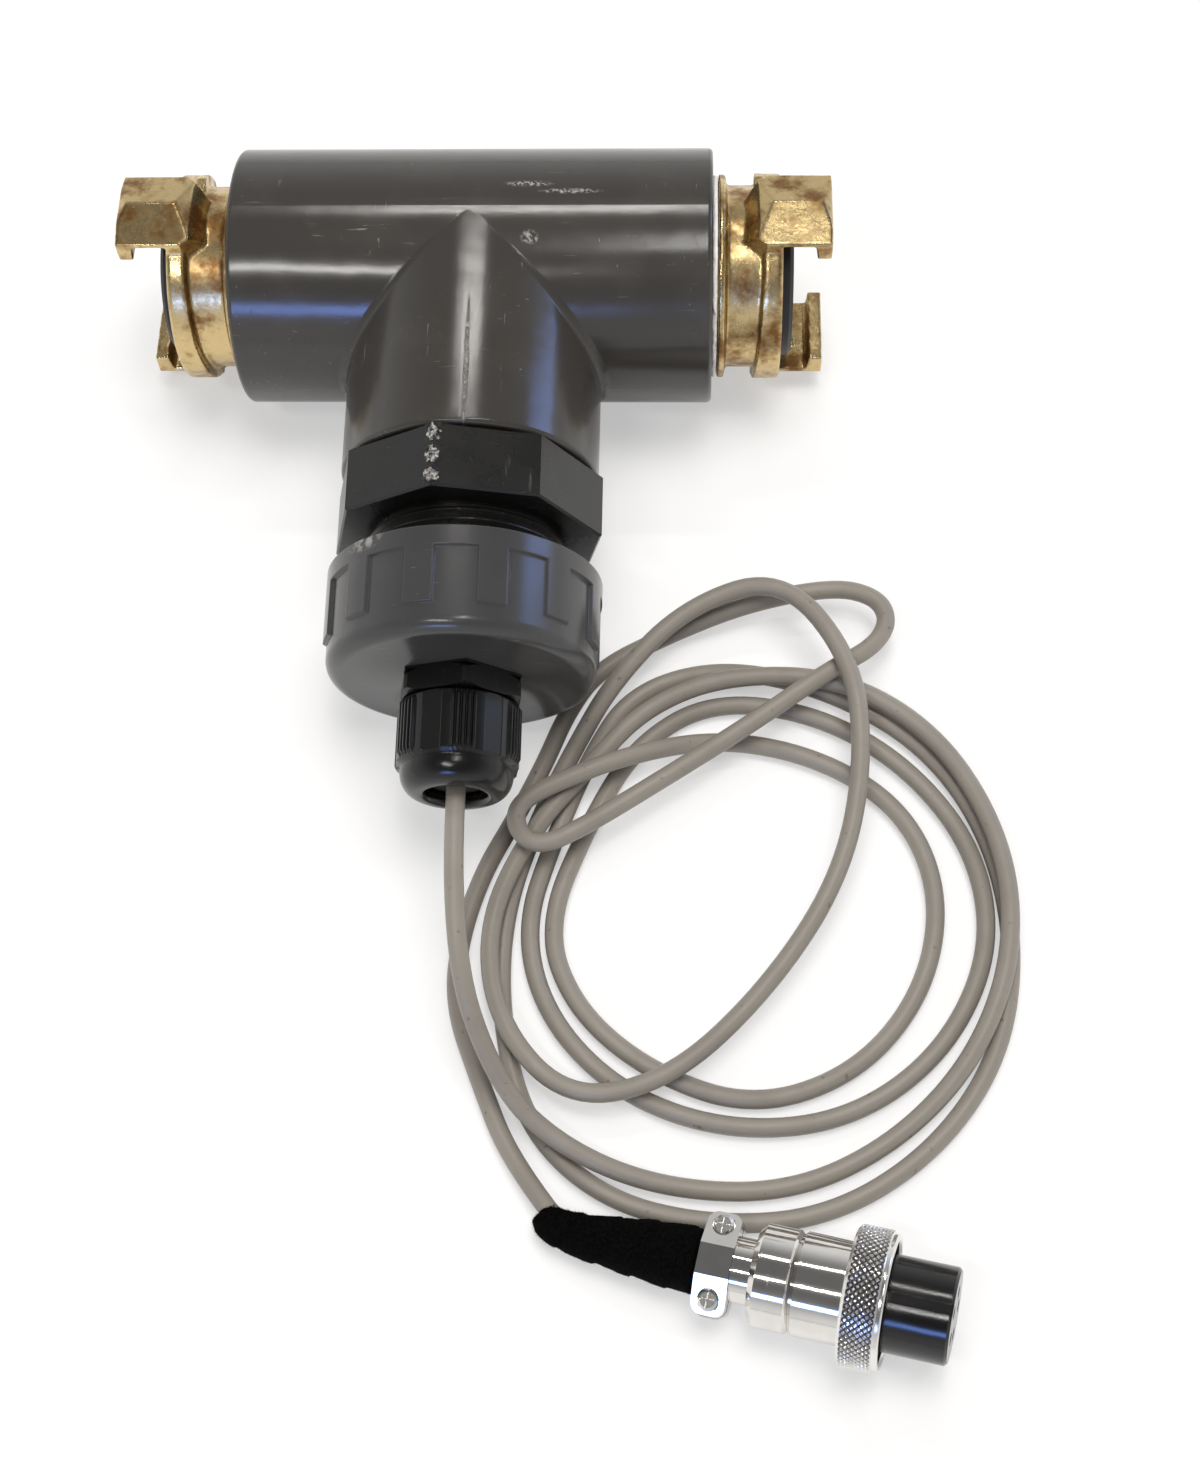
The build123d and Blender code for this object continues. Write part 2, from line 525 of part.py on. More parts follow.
with BuildPart() as shell_rear:
    saddle_block(-1)
    fillet(shell_rear.edges().filter_by(lambda e: abs(e.tangent_at(0.5).dot(PLUG.x_dir)) > 0.98), 2.4)
    with BuildSketch(SCREWS):
        with Locations((-LUG, 0), (LUG, 0)):
            Circle(1.25)
    extrude(amount=-20, mode=Mode.SUBTRACT)
    spin(PLUG, tube(cord_r + 0.05, 7.2, CLAMP_LEN + 0.05, NECK_END + 1))
    with BuildSketch(PLUG.offset(CLAMP_LEN - 1)):                      # web from the saddle to the neck
        Circle(7.2)
        Circle(cord_r + 0.05, mode=Mode.SUBTRACT)
        with Locations((5.2, 0)):
            Rectangle(10, 20, mode=Mode.SUBTRACT)
    extrude(amount=1.2)
    spin(PLUG, [(cord_r + 0.05, NECK_END), (shell_r - 1.4, NECK_END), (shell_r, NECK_END + 1.4), (shell_r, SHELL_JOINT - 0.9),
                (shell_r - 0.8, SHELL_JOINT), (shell_r - 2.4, SHELL_JOINT), (shell_r - 2.4, NECK_END + 3),
                (cord_r + 0.05, NECK_END + 3)])
save(shell_rear, "plug_shell_rear")

for number, y in enumerate((-LUG, LUG), 1):
    screw_at = Plane(origin=SCREWS.origin + SCREWS.x_dir * y, x_dir=SCREWS.x_dir, z_dir=SCREWS.z_dir)
    with BuildPart() as screw:
        spin(screw_at, [(0, -4.5), (1.2, -4.5), (1.2, 3.45), (2.3, 3.45), (2.3, 4.3), (1.7, 4.9), (0, 4.9)])
        with BuildSketch(screw_at.offset(4.2)):
            Rectangle(3.6, 0.6)
            Rectangle(0.6, 3.6)
        extrude(amount=2, mode=Mode.SUBTRACT)
    save(screw, f"plug_clamp_screw_{number}")

with BuildPart() as shell_front:
    spin(PLUG, [(INSERT_D / 2 + 0.05, SHELL_JOINT + 3), (shell_r - 2.5, SHELL_JOINT + 3), (shell_r - 2.5, SHELL_JOINT + 0.05),
                (shell_r - 0.8, SHELL_JOINT + 0.05), (shell_r, SHELL_JOINT + 0.9), (shell_r, RING_START - 0.3),
                (shell_r - 0.35, RING_START), (shell_r - 0.35, RING_START + 3.4), (INSERT_D / 2 + 0.05, RING_START + 3.4)])
save(shell_front, "plug_shell_front")

ring_r = RING_D / 2
with BuildPart() as ring:
    spin(PLUG, [(shell_r, RING_START + 0.1), (ring_r - 0.7, RING_START + 0.1), (ring_r, RING_START + 0.8),
                (ring_r, ring_end - 1.4), (ring_r - 0.5, ring_end - 1.2), (ring_r - 0.5, ring_end - 0.4),
                (ring_r - 0.9, ring_end), (ring_r - 1.7, ring_end), (ring_r - 2.0, ring_end - 0.5),
                (ring_r - 2.0, RING_START + 3.4), (shell_r, RING_START + 3.4)])
save(ring, "plug_ring")

contact_r = INSERT_D / 4
with BuildPart() as insert:
    spin(PLUG, [(0, SHELL_JOINT + 4), (INSERT_D / 2, SHELL_JOINT + 4), (INSERT_D / 2, PLUG_LEN - 0.6),
                (INSERT_D / 2 - 0.6, PLUG_LEN), (0, PLUG_LEN)])
    with BuildSketch(PLUG.offset(PLUG_LEN)):
        with PolarLocations(contact_r, CONTACTS):
            Circle(1.45)
        with Locations((INSERT_D / 2, 0)):
            Rectangle(2.4, 2.6)                # key slot
    extrude(amount=-14, mode=Mode.SUBTRACT)
save(insert, "plug_insert")

with BuildPart() as contacts:
    with BuildSketch(PLUG.offset(PLUG_LEN - 14)):
        with PolarLocations(contact_r, CONTACTS):
            Circle(1.4)
    extrude(amount=13.2)
    with BuildSketch(PLUG.offset(PLUG_LEN - 0.8)):
        with PolarLocations(contact_r, CONTACTS):
            Circle(0.8)
    extrude(amount=-10, mode=Mode.SUBTRACT)
save(contacts, "plug_contacts")

sleeve_a, sleeve_b = SLEEVE_START_D / 2, SLEEVE_END_D / 2
with BuildPart() as sleeve:
    with BuildSketch(lengthwise(PLUG)):
        with BuildLine():
            start, end = (sleeve_a, -SLEEVE_LEN), (sleeve_b, -0.8)
            Line((0, -SLEEVE_LEN), start)
            Spline(start, (sleeve_a + 1.9, -SLEEVE_LEN + 8), end)
            Line(end, (sleeve_b - 0.7, -0.1))
            Line((sleeve_b - 0.7, -0.1), (cord_r, -0.1))
            Line((cord_r, -0.1), (cord_r, NECK_END + 6))
            Line((cord_r, NECK_END + 6), (0, NECK_END + 6))
            Line((0, NECK_END + 6), (0, -SLEEVE_LEN))
        make_face()
    revolve(axis=Axis(PLUG.origin, PLUG.z_dir))
save(sleeve, "plug_sleeve")


# ---- Cable -----------------------------------------------------------------------------
# Route: level out of the gland, down to the surface, round the loops and into the sleeve.
ROUTE = [
    (CROSS.X, CROSS.Y - gland_end, CROSS.Z), (CROSS.X, -118.5, CROSS.Z),
    # outermost turn
    (9, -146, 10), (26, -160.5, 7), (49, -168, 3), (77, -168, 2.4), (101, -156, 2.4), (119, -137, 6),
    (128.5, -112, 7.6), (127, -85, 7.2), (113, -59, 7.2), (90, -44, 7.2), (62, -43.5, 7.2), (42, -52, 7.2),
    (29, -67, 7.2), (15, -84, 7.2), (5, -107, 7.2),
    # across the middle and round the high loop
    (8.5, -131, 7.2), (25.5, -149, 7.4), (49, -144, 9), (71, -123, 10.5), (88, -97, 12), (94, -70, 14),
    (92, -44, 17.8), (75, -20, 15), (51, -28, 12.5), (34, -46, 8.5), (25.5, -60, 3.6), (17, -78, 2.4),
    # second turn
    (9, -102, 2.4), (8.7, -127, 2.4), (15, -153, 2.4), (33, -170, 2.4), (58, -175.8, 2.4), (85, -173.5, 2.4),
    (109, -158.5, 2.4), (125, -136, 2.4), (129.5, -109, 2.4), (124.5, -82, 2.4), (110, -59.5, 2.4), (86, -45, 2.4),
    (60, -39.5, 2.4), (38.5, -46.5, 2.4), (28.5, -63.5, 2.4), (20.5, -84, 2.4),
    # third turn
    (13.6, -107, 2.4), (20, -129, 2.4), (38, -146.5, 2.4), (63, -154.5, 2.4), (90, -151.5, 2.4), (112, -135.5, 2.4),
    (124, -111, 2.4), (121, -86, 2.4), (105, -64.5, 2.4), (83, -51.5, 2.4), (58, -48.5, 2.4), (40, -60, 2.4),
    (29, -79.5, 2.4),
    # innermost turn and the fold
    (18.8, -106, 2.4), (26, -126, 2.4), (44, -141, 2.4), (68, -149, 2.4), (92, -140.5, 2.4), (108, -121, 2.4),
    (112.5, -97, 2.4), (104, -76, 2.4), (84, -63, 2.4), (60, -58.5, 3), (38, -66, 11.2), (21, -73.5, 12.3),
    (12.5, -78.6, 12.4), (11.4, -83.6, 12.4), (14.1, -88, 12.4), (19.1, -89.1, 12.4),
    # back over the turns to the small loop
    (28, -84.5, 12.4), (44, -74, 12.2), (67, -58.5, 12.2), (86.5, -44, 12.2), (97, -38, 11.5), (101.3, -30.5, 10.5),
    (98.5, -23.5, 9.5), (88, -20.3, 8.5), (66, -24.5, 7), (46, -32.5, 4.5), (30, -40.5, 2.5), (22.5, -52, 2.4),
    # beside the cap, under the gland and on to the plug
    (17.6, -65, 2.4), (11, -79, 2.4), (3.5, -93, 2.4), (-1.5, -110, 2.4), (-2, -126, 2.4), (4.5, -143, 2.4),
    (13, -163, 3), (26, -178.2, 5.4),
]


def corner_radii(points):
    """The radius at each corner: 0.45 of the shorter run over the tangent of half the turn."""
    radii = []
    for before, here, after in zip(points, points[1:], points[2:]):
        come, go = Vector(here) - Vector(before), Vector(after) - Vector(here)
        radii.append(0.45 * min(come.length, go.length) / tan(radians(come.get_angle(go)) / 2))
    return radii


radii = corner_radii(ROUTE)
print("cable radii, mm:", " ".join(f"{r:.1f}" for r in radii))
with BuildPart() as cable:
    with BuildLine() as way:
        FilletPolyline(*ROUTE, radius=radii)
    with BuildSketch(Plane(origin=way.line @ 0, z_dir=way.line % 0)):
        Circle(CABLE_D / 2)
    sweep()
length = way.wires()[0].length
print(f"cable length, mm: {length:.1f}  volume over section times length:",
      round(cable.part.volume / (pi * CABLE_D**2 / 4 * length), 5))
save(cable, "cable")
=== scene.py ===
import random
from math import ceil, cos, hypot, pi, radians, sin, tan

import bpy
from bpy.props import FloatProperty, FloatVectorProperty, IntProperty, PointerProperty
from bpy.types import Operator, Panel, PropertyGroup
from mathutils import Matrix, Vector, noise


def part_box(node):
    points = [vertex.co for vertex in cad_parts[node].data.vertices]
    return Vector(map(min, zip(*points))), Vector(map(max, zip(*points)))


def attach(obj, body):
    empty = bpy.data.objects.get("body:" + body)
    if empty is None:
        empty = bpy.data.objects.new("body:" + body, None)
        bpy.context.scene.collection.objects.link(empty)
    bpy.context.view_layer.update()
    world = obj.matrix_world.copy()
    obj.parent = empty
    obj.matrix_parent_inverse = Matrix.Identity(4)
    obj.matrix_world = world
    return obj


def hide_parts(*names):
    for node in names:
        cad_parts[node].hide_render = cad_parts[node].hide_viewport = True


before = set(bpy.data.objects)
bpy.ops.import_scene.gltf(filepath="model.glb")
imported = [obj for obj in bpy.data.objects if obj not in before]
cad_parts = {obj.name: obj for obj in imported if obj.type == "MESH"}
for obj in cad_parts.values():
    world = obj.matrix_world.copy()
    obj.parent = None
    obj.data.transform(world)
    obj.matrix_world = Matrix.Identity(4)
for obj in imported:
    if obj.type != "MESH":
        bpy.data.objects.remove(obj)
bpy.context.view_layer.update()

bl_info = {
    "name": "In-line flow sensor",
    "version": (1, 0, 0),
    "blender": (4, 5, 0),
    "location": "3D View > Sidebar > Flow sensor",
    "description": "Finishes the tee, claw couplings, screw cap, cable and plug of a flow sensor",
    "category": "Object",
}

MM = 0.001

# ---- Places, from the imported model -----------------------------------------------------
TEE_LOW, TEE_HIGH = (Vector(corner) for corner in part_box("tee_body"))
CAP_RIM_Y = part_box("screw_cap")[1][1]
TEE_RADIUS = 31 * MM
CROSS = Vector(((TEE_LOW.x + TEE_HIGH.x) / 2, TEE_HIGH.y - TEE_RADIUS, (TEE_LOW.z + TEE_HIGH.z) / 2))
BRANCH_WAY = Vector((0, -1, 0))
UP = Vector((0, 0, 1))

PLUG_AT = Vector((56.2, -184.6, 10.1)) * MM       # middle of the clamp's back
PLUG_WAY = Vector((54.5, -11.8, 8.6)).normalized()
PLUG_UP = (UP - UP.dot(PLUG_WAY) * PLUG_WAY).normalized()

# the cable's route, in millimetres: level out of the gland, round the loops and into the sleeve
ROUTE = [
    (-0.6, -84.35, 32.5), (-0.8, -118.5, 33.3),
    # outermost turn
    (9, -146, 10), (26, -160.5, 7), (49, -168, 3), (77, -168, 2.4), (101, -156, 2.4), (119, -137, 6),
    (128.5, -112, 7.6), (127, -85, 7.2), (113, -59, 7.2), (90, -44, 7.2), (62, -43.5, 7.2), (42, -52, 7.2),
    (29, -67, 7.2), (15, -84, 7.2), (5, -107, 7.2),
    # across the middle and round the high loop
    (8.5, -131, 7.2), (25.5, -149, 7.4), (49, -144, 9), (71, -123, 10.5), (88, -97, 12), (94, -70, 14),
    (92, -44, 17.8), (75, -20, 15), (51, -28, 12.5), (34, -46, 8.5), (25.5, -60, 3.6), (17, -78, 2.4),
    # second turn
    (9, -102, 2.4), (8.7, -127, 2.4), (15, -153, 2.4), (33, -170, 2.4), (58, -175.8, 2.4), (85, -173.5, 2.4),
    (109, -158.5, 2.4), (125, -136, 2.4), (129.5, -109, 2.4), (124.5, -82, 2.4), (110, -59.5, 2.4), (86, -45, 2.4),
    (60, -39.5, 2.4), (38.5, -46.5, 2.4), (28.5, -63.5, 2.4), (20.5, -84, 2.4),
    # third turn
    (13.6, -107, 2.4), (20, -129, 2.4), (38, -146.5, 2.4), (63, -154.5, 2.4), (90, -151.5, 2.4), (112, -135.5, 2.4),
    (124, -111, 2.4), (121, -86, 2.4), (105, -64.5, 2.4), (83, -51.5, 2.4), (58, -48.5, 2.4), (40, -60, 2.4),
    (29, -79.5, 2.4),
    # innermost turn and the fold
    (18.8, -106, 2.4), (26, -126, 2.4), (44, -141, 2.4), (68, -149, 2.4), (92, -140.5, 2.4), (108, -121, 2.4),
    (112.5, -97, 2.4), (104, -76, 2.4), (84, -63, 2.4), (60, -58.5, 3), (38, -66, 11.2), (21, -73.5, 12.3),
    (12.5, -78.6, 12.4), (11.4, -83.6, 12.4), (14.1, -88, 12.4), (19.1, -89.1, 12.4),
    # back over the turns to the small loop
    (28, -84.5, 12.4), (44, -74, 12.2), (67, -58.5, 12.2), (86.5, -44, 12.2), (97, -38, 11.5), (101.3, -30.5, 10.5),
    (98.5, -23.5, 9.5), (88, -20.3, 8.5), (66, -24.5, 7), (46, -32.5, 4.5), (30, -40.5, 2.5), (22.5, -52, 2.4),
    # beside the cap, under the gland and on to the plug
    (17.6, -65, 2.4), (11, -79, 2.4), (3.5, -93, 2.4), (-1.5, -110, 2.4), (-2, -126, 2.4), (4.5, -143, 2.4),
    (13, -163, 3), (26, -178.2, 5.4),
]


def colour_setting(name, description, default):
    return FloatVectorProperty(name=name, description=description, subtype="COLOR", size=3, min=0, max=1,
                               default=default)


def length_setting(name, description, low, high, default):
    return FloatProperty(name=name, description=description, unit="LENGTH", min=low, max=high, default=default)


class FittingLook(PropertyGroup):
    """Sizes and colours of the tee, its couplings and its cap"""
    pvc_colour: colour_setting("Tee colour", "Colour of the PVC tee", (0.043, 0.0395, 0.036))
    cap_colour: colour_setting("Cap colour", "Colour of the screw cap", (0.047, 0.047, 0.048))
    brass_colour: colour_setting("Brass colour", "Colour of the cast brass", (0.62, 0.47, 0.235))
    casting_cell: length_setting("Casting fineness", "Cell that rounds the castings' edges", 0.0002, 0.002, 0.00036)
    tab_edge: length_setting("Tab edge", "Width of the rounding beside the cap's tabs", 0.0001, 0.001, 0.00036)


class CordLook(PropertyGroup):
    """Sizes and colours of the cable, its sleeve and the plug"""
    cable_diameter: length_setting("Cable diameter", "Outer diameter of the cable", 0.002, 0.008, 0.0045)
    cable_colour: colour_setting("Cable colour", "Colour of the jacket", (0.275, 0.25, 0.218))
    fibres: IntProperty(name="Fibres", description="Loose fibres on the fleece sleeve", min=0, max=20000,
                        default=5200)
    knurl_pitch: length_setting("Knurl pitch", "Distance between the knurl's grooves", 0.0006, 0.003, 0.00152)
    knurl_depth: length_setting("Knurl depth", "Depth of the knurl's grooves", 0.0001, 0.001, 0.00052)


class StageLook(PropertyGroup):
    """Camera and light"""
    lens: FloatProperty(name="Lens", description="Focal length in millimetres", min=20, max=200, default=65.51)
    light: FloatProperty(name="Light", description="Level of all the lamps together", min=0, max=5, default=1.0)
    shade: FloatProperty(name="Shade", description="How much of the shade on the table shows", subtype="FACTOR",
                         min=0, max=1, default=0.55)


# ---- Mesh helpers ----------------------------------------------------------------------
def new_object(name, verts, faces, material, smooth=True):
    mesh = bpy.data.meshes.new(name)
    mesh.from_pydata(verts, [], faces)
    mesh.update()
    mesh.validate()
    for polygon in mesh.polygons:
        polygon.use_smooth = smooth
    thing = bpy.data.objects.new(name, mesh)
    bpy.context.scene.collection.objects.link(thing)
    mesh.materials.append(material)
    return thing


def about(origin, way, up, station, radius, angle):
    """The point at a station along a frame's axis, at a radius and an angle from up"""
    side = way.cross(up)
    return origin + way * station + (up * cos(angle) + side * sin(angle)) * radius


def turned(name, origin, way, up, outline, columns, material, lift=None):
    """A closed outline of (radius, station) turned about an axis. lift(angle, radius, station) moves the surface"""
    verts, faces = [], []
    rows = len(outline)
    for column in range(columns):
        angle = 2 * pi * column / columns
        for radius, station in outline:
            grown = radius + (lift(angle, radius, station) if lift else 0)
            verts.append(about(origin, way, up, station, grown, angle))
    for column in range(columns):
        here, there = column * rows, (column + 1) % columns * rows
        for row in range(rows):
            after = (row + 1) % rows
            faces.append((here + row, here + after, there + after, there + row))
    return new_object(name, verts, faces, material)


def rounded(outline, radius, steps=4):
    """The closed outline with each corner cut by a small arc, which keeps its edges soft in the light"""
    points = [Vector(point) for point in outline]
    result = []
    for number, here in enumerate(points):
        before, after = points[number - 1] - here, points[(number + 1) % len(points)] - here
        cut = min(radius, 0.45 * before.length, 0.45 * after.length)
        start, end = here + before.normalized() * cut, here + after.normalized() * cut
        for step in range(steps + 1):
            t = step / steps
            result.append(tuple((1 - t) ** 2 * start + 2 * t * (1 - t) * here + t * t * end))
    return result


def filled(outline, step, low, high):
    """More points on the outline's level stretches between two stations, no more than a step apart"""
    result = []
    for number, here in enumerate(outline):
        result.append(here)
        after = outline[(number + 1) % len(outline)]
        if low <= min(here[1], after[1]) and max(here[1], after[1]) <= high:
            count = ceil(hypot(after[0] - here[0], after[1] - here[1]) / step)
            for part in range(1, count):
                t = part / count
                result.append((here[0] + (after[0] - here[0]) * t, here[1] + (after[1] - here[1]) * t))
    return result


def smooth_step(value):
    value = min(1.0, max(0.0, value))
    return value * value * (3 - 2 * value)


def stands_for(piece, body, slot, *nodes):
    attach(piece, body)
    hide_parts(*nodes)


# ---- Shared surface effects ------------------------------------------------------------
def effect(name, inputs, outputs):
    """A new shader node group with its sockets, its input node and its output node"""
    tree = bpy.data.node_groups.new(name, "ShaderNodeTree")
    kinds = {"f": "NodeSocketFloat", "v": "NodeSocketVector", "c": "NodeSocketColor"}
    for socket, kind, default in inputs:
        made = tree.interface.new_socket(socket, in_out="INPUT", socket_type=kinds[kind])
        made.default_value = default
    for socket, kind in outputs:
        tree.interface.new_socket(socket, in_out="OUTPUT", socket_type=kinds[kind])
    return tree, tree.nodes.new("NodeGroupInput"), tree.nodes.new("NodeGroupOutput")


def node(tree, kind, **settings):
    made = tree.nodes.new(kind)
    for key, value in settings.items():
        if hasattr(made, key):
            setattr(made, key, value)
        else:
            made.inputs[key.replace("_", " ").title()].default_value = value
    return made


def maths(tree, operation, first, second=None, third=None, clamp=False):
    made = node(tree, "ShaderNodeMath", operation=operation, use_clamp=clamp)
    for socket, value in zip(made.inputs, (first, second, third)):
        if value is None:
            continue
        if isinstance(value, (int, float)):
            socket.default_value = value
        else:
            tree.links.new(value, socket)
    return made.outputs[0]


def between(tree, value, low, high, to_low=0.0, to_high=1.0):
    made = node(tree, "ShaderNodeMapRange", interpolation_type="SMOOTHSTEP")
    tree.links.new(value, made.inputs["Value"])
    for socket, number in (("From Min", low), ("From Max", high), ("To Min", to_low), ("To Max", to_high)):
        made.inputs[socket].default_value = number
    return made.outputs["Result"]


def noise_at(tree, scale, detail=3.0, stretch=None, roughness=0.55):
    """Noise over the piece's own coordinates. scale is in cells a metre, and may be a socket"""
    place = node(tree, "ShaderNodeTexCoord").outputs["Object"]
    if stretch:
        mapping = node(tree, "ShaderNodeMapping")
        mapping.inputs["Scale"].default_value = stretch
        tree.links.new(place, mapping.inputs["Vector"])
        place = mapping.outputs["Vector"]
    made = node(tree, "ShaderNodeTexNoise")
    made.inputs["Detail"].default_value = detail
    made.inputs["Roughness"].default_value = roughness
    tree.links.new(place, made.inputs["Vector"])
    if isinstance(scale, (int, float)):
        made.inputs["Scale"].default_value = scale
    else:
        tree.links.new(scale, made.inputs["Scale"])
    return made.outputs["Fac"]


def add_bump(tree, height, target, distance=1.0):
    made = node(tree, "ShaderNodeBump")
    made.inputs["Distance"].default_value = distance
    tree.links.new(height, made.inputs["Height"])
    tree.links.new(made.outputs["Normal"], target)


def make_grain():
    """Fine grain and slow waviness of a moulded or cast skin"""
    tree, come, go = effect("skin_grain", [("Fine Scale", "f", 2600.0), ("Fine Depth", "f", 0.00001),
                                           ("Wave Scale", "f", 90.0), ("Wave Depth", "f", 0.00008)],
                            [("Normal", "v"), ("Height", "f")])
    fine = maths(tree, "MULTIPLY", noise_at(tree, come.outputs["Fine Scale"], 4.0), come.outputs["Fine Depth"])
    wave = maths(tree, "MULTIPLY", noise_at(tree, come.outputs["Wave Scale"], 1.0), come.outputs["Wave Depth"])
    height = maths(tree, "ADD", fine, wave)
    add_bump(tree, height, go.inputs["Normal"])
    tree.links.new(height, go.inputs["Height"])
    return tree


def make_marks():
    """Fine scratches and dusty patches from handling"""
    tree, come, go = effect("handling_marks", [("Scale", "f", 60.0), ("Amount", "f", 1.0)],
                            [("Scratches", "f"), ("Patches", "f")])
    along = noise_at(tree, 90.0, 4.0, (1.0, 14.0, 14.0))
    across = noise_at(tree, 90.0, 4.0, (12.0, 1.2, 9.0))
    lines = maths(tree, "MAXIMUM", between(tree, along, 0.66, 0.72), between(tree, across, 0.67, 0.73))
    patches = between(tree, noise_at(tree, come.outputs["Scale"], 5.0), 0.46, 0.68)
    broken = maths(tree, "MULTIPLY", lines, patches)
    tree.links.new(maths(tree, "MULTIPLY", broken, come.outputs["Amount"], clamp=True), go.inputs["Scratches"])
    tree.links.new(maths(tree, "MULTIPLY", patches, come.outputs["Amount"], clamp=True), go.inputs["Patches"])
    return tree


def make_spot():
    """A ragged mark round one place on a piece"""
    tree, come, go = effect("ragged_spot", [("Centre", "v", (0, 0, 0)), ("Reach", "v", (0.01, 0.01, 0.01)),
                                            ("Ragged", "f", 700.0)], [("Mask", "f")])
    place = node(tree, "ShaderNodeTexCoord").outputs["Object"]
    away = node(tree, "ShaderNodeVectorMath", operation="SUBTRACT")
    tree.links.new(place, away.inputs[0])
    tree.links.new(come.outputs["Centre"], away.inputs[1])
    scaled = node(tree, "ShaderNodeVectorMath", operation="DIVIDE")
    tree.links.new(away.outputs[0], scaled.inputs[0])
    tree.links.new(come.outputs["Reach"], scaled.inputs[1])
    far = node(tree, "ShaderNodeVectorMath", operation="LENGTH")
    tree.links.new(scaled.outputs[0], far.inputs[0])
    near = between(tree, far.outputs["Value"], 0.25, 1.0, 1.0, 0.0)
    flecks = between(tree, noise_at(tree, come.outputs["Ragged"], 4.0), 0.42, 0.6)
    tree.links.new(maths(tree, "MULTIPLY", near, flecks, clamp=True), go.inputs["Mask"])
    return tree


EFFECTS = {}


def place_effect(tree, name, **values):
    made = node(tree, "ShaderNodeGroup", node_tree=EFFECTS[name])
    for key, value in values.items():
        made.inputs[key.replace("_", " ").title()].default_value = value
    return made


def blend_colours(tree, factor, first, second):
    made = node(tree, "ShaderNodeMix", data_type="RGBA")
    tree.links.new(factor, made.inputs["Factor"])
    for socket, value in ((made.inputs[6], first), (made.inputs[7], second)):
        if isinstance(value, tuple):
            socket.default_value = (*value, 1.0)
        else:
            tree.links.new(value, socket)
    return made.outputs[2]


def blank(name, roughness, metallic=0.0, **sockets):
    material = bpy.data.materials.new(name)
    material.use_nodes = True
    tree = material.node_tree
    skin = tree.nodes["Principled BSDF"]
    skin.inputs["Roughness"].default_value = roughness
    skin.inputs["Metallic"].default_value = metallic
    for key, value in sockets.items():
        skin.inputs[key.replace("_", " ").title().replace("Ior", "IOR")].default_value = value
    return material, tree, skin


def shade(colour, factor):
    return tuple(min(1.0, channel * factor) for channel in colour)


def grain(fine_scale, fine_depth, wave_scale, wave_depth):
    return {"fine_scale": fine_scale, "fine_depth": fine_depth, "wave_scale": wave_scale, "wave_depth": wave_depth}


def plastic(name, colour, roughness, texture, marks=0.5, pale=(0.20, 0.19, 0.18), spots=(), patch=1.35, **sockets):
    """Moulded plastic: grain, cloudy gloss, fine scratches and any ragged pale marks at given places: scuffs, and on
    the tee a painted highlight along the branch's seam
    """
    material, tree, skin = blank(name, roughness, **sockets)
    worn = place_effect(tree, "handling_marks", amount=marks)
    tone = blend_colours(tree, worn.outputs["Patches"], tuple(colour), shade(colour, patch))
    mask = worn.outputs["Scratches"]
    for centre, reach, ragged in spots:
        spot = place_effect(tree, "ragged_spot", centre=centre, reach=reach, ragged=ragged)
        mask = maths(tree, "MAXIMUM", mask, spot.outputs["Mask"])
    tree.links.new(blend_colours(tree, mask, tone, pale), skin.inputs["Base Color"])
    cloudy = maths(tree, "MULTIPLY_ADD", worn.outputs["Patches"], 0.07, roughness)
    tree.links.new(maths(tree, "MULTIPLY_ADD", mask, 0.3, cloudy, clamp=True), skin.inputs["Roughness"])
    skin_grain = place_effect(tree, "skin_grain", **texture)
    raised = maths(tree, "MULTIPLY_ADD", mask, 0.00012, skin_grain.outputs["Height"])
    add_bump(tree, raised, skin.inputs["Normal"])
    return material


def make_brass(colour):
    """Die-cast brass: pitted skin, brown tarnish in patches and a bright wear"""
    material, tree, skin = blank("cast_brass", 0.3, 1.0)
    tarnish = between(tree, noise_at(tree, 120.0, 6.0, roughness=0.65), 0.42, 0.64)
    flecks = between(tree, noise_at(tree, 900.0, 4.0), 0.62, 0.78)
    tone = blend_colours(tree, tarnish, tuple(colour), (0.25, 0.125, 0.042))
    tree.links.new(blend_colours(tree, flecks, tone, (0.78, 0.64, 0.37)), skin.inputs["Base Color"])
    rough = maths(tree, "MULTIPLY_ADD", tarnish, 0.14, 0.19)
    tree.links.new(maths(tree, "MULTIPLY_ADD", noise_at(tree, 700.0, 3.0), 0.14, rough), skin.inputs["Roughness"])
    texture = place_effect(tree, "skin_grain", **grain(1300.0, 0.00003, 170.0, 0.00007))
    tree.links.new(texture.outputs["Normal"], skin.inputs["Normal"])
    return material


def make_chrome(name, roughness, colour, wave=0.00002):
    """Plated metal with faint rubbing marks"""
    material, tree, skin = blank(name, roughness, 1.0)
    worn = place_effect(tree, "handling_marks", scale=160.0, amount=0.8)
    tree.links.new(blend_colours(tree, worn.outputs["Patches"], colour, shade(colour, 0.93)),
                   skin.inputs["Base Color"])
    tree.links.new(maths(tree, "MULTIPLY_ADD", worn.outputs["Scratches"], 0.2, roughness),
                   skin.inputs["Roughness"])
    texture = place_effect(tree, "skin_grain", **grain(1800.0, 0.000004, 140.0, wave))
    tree.links.new(texture.outputs["Normal"], skin.inputs["Normal"])
    return material


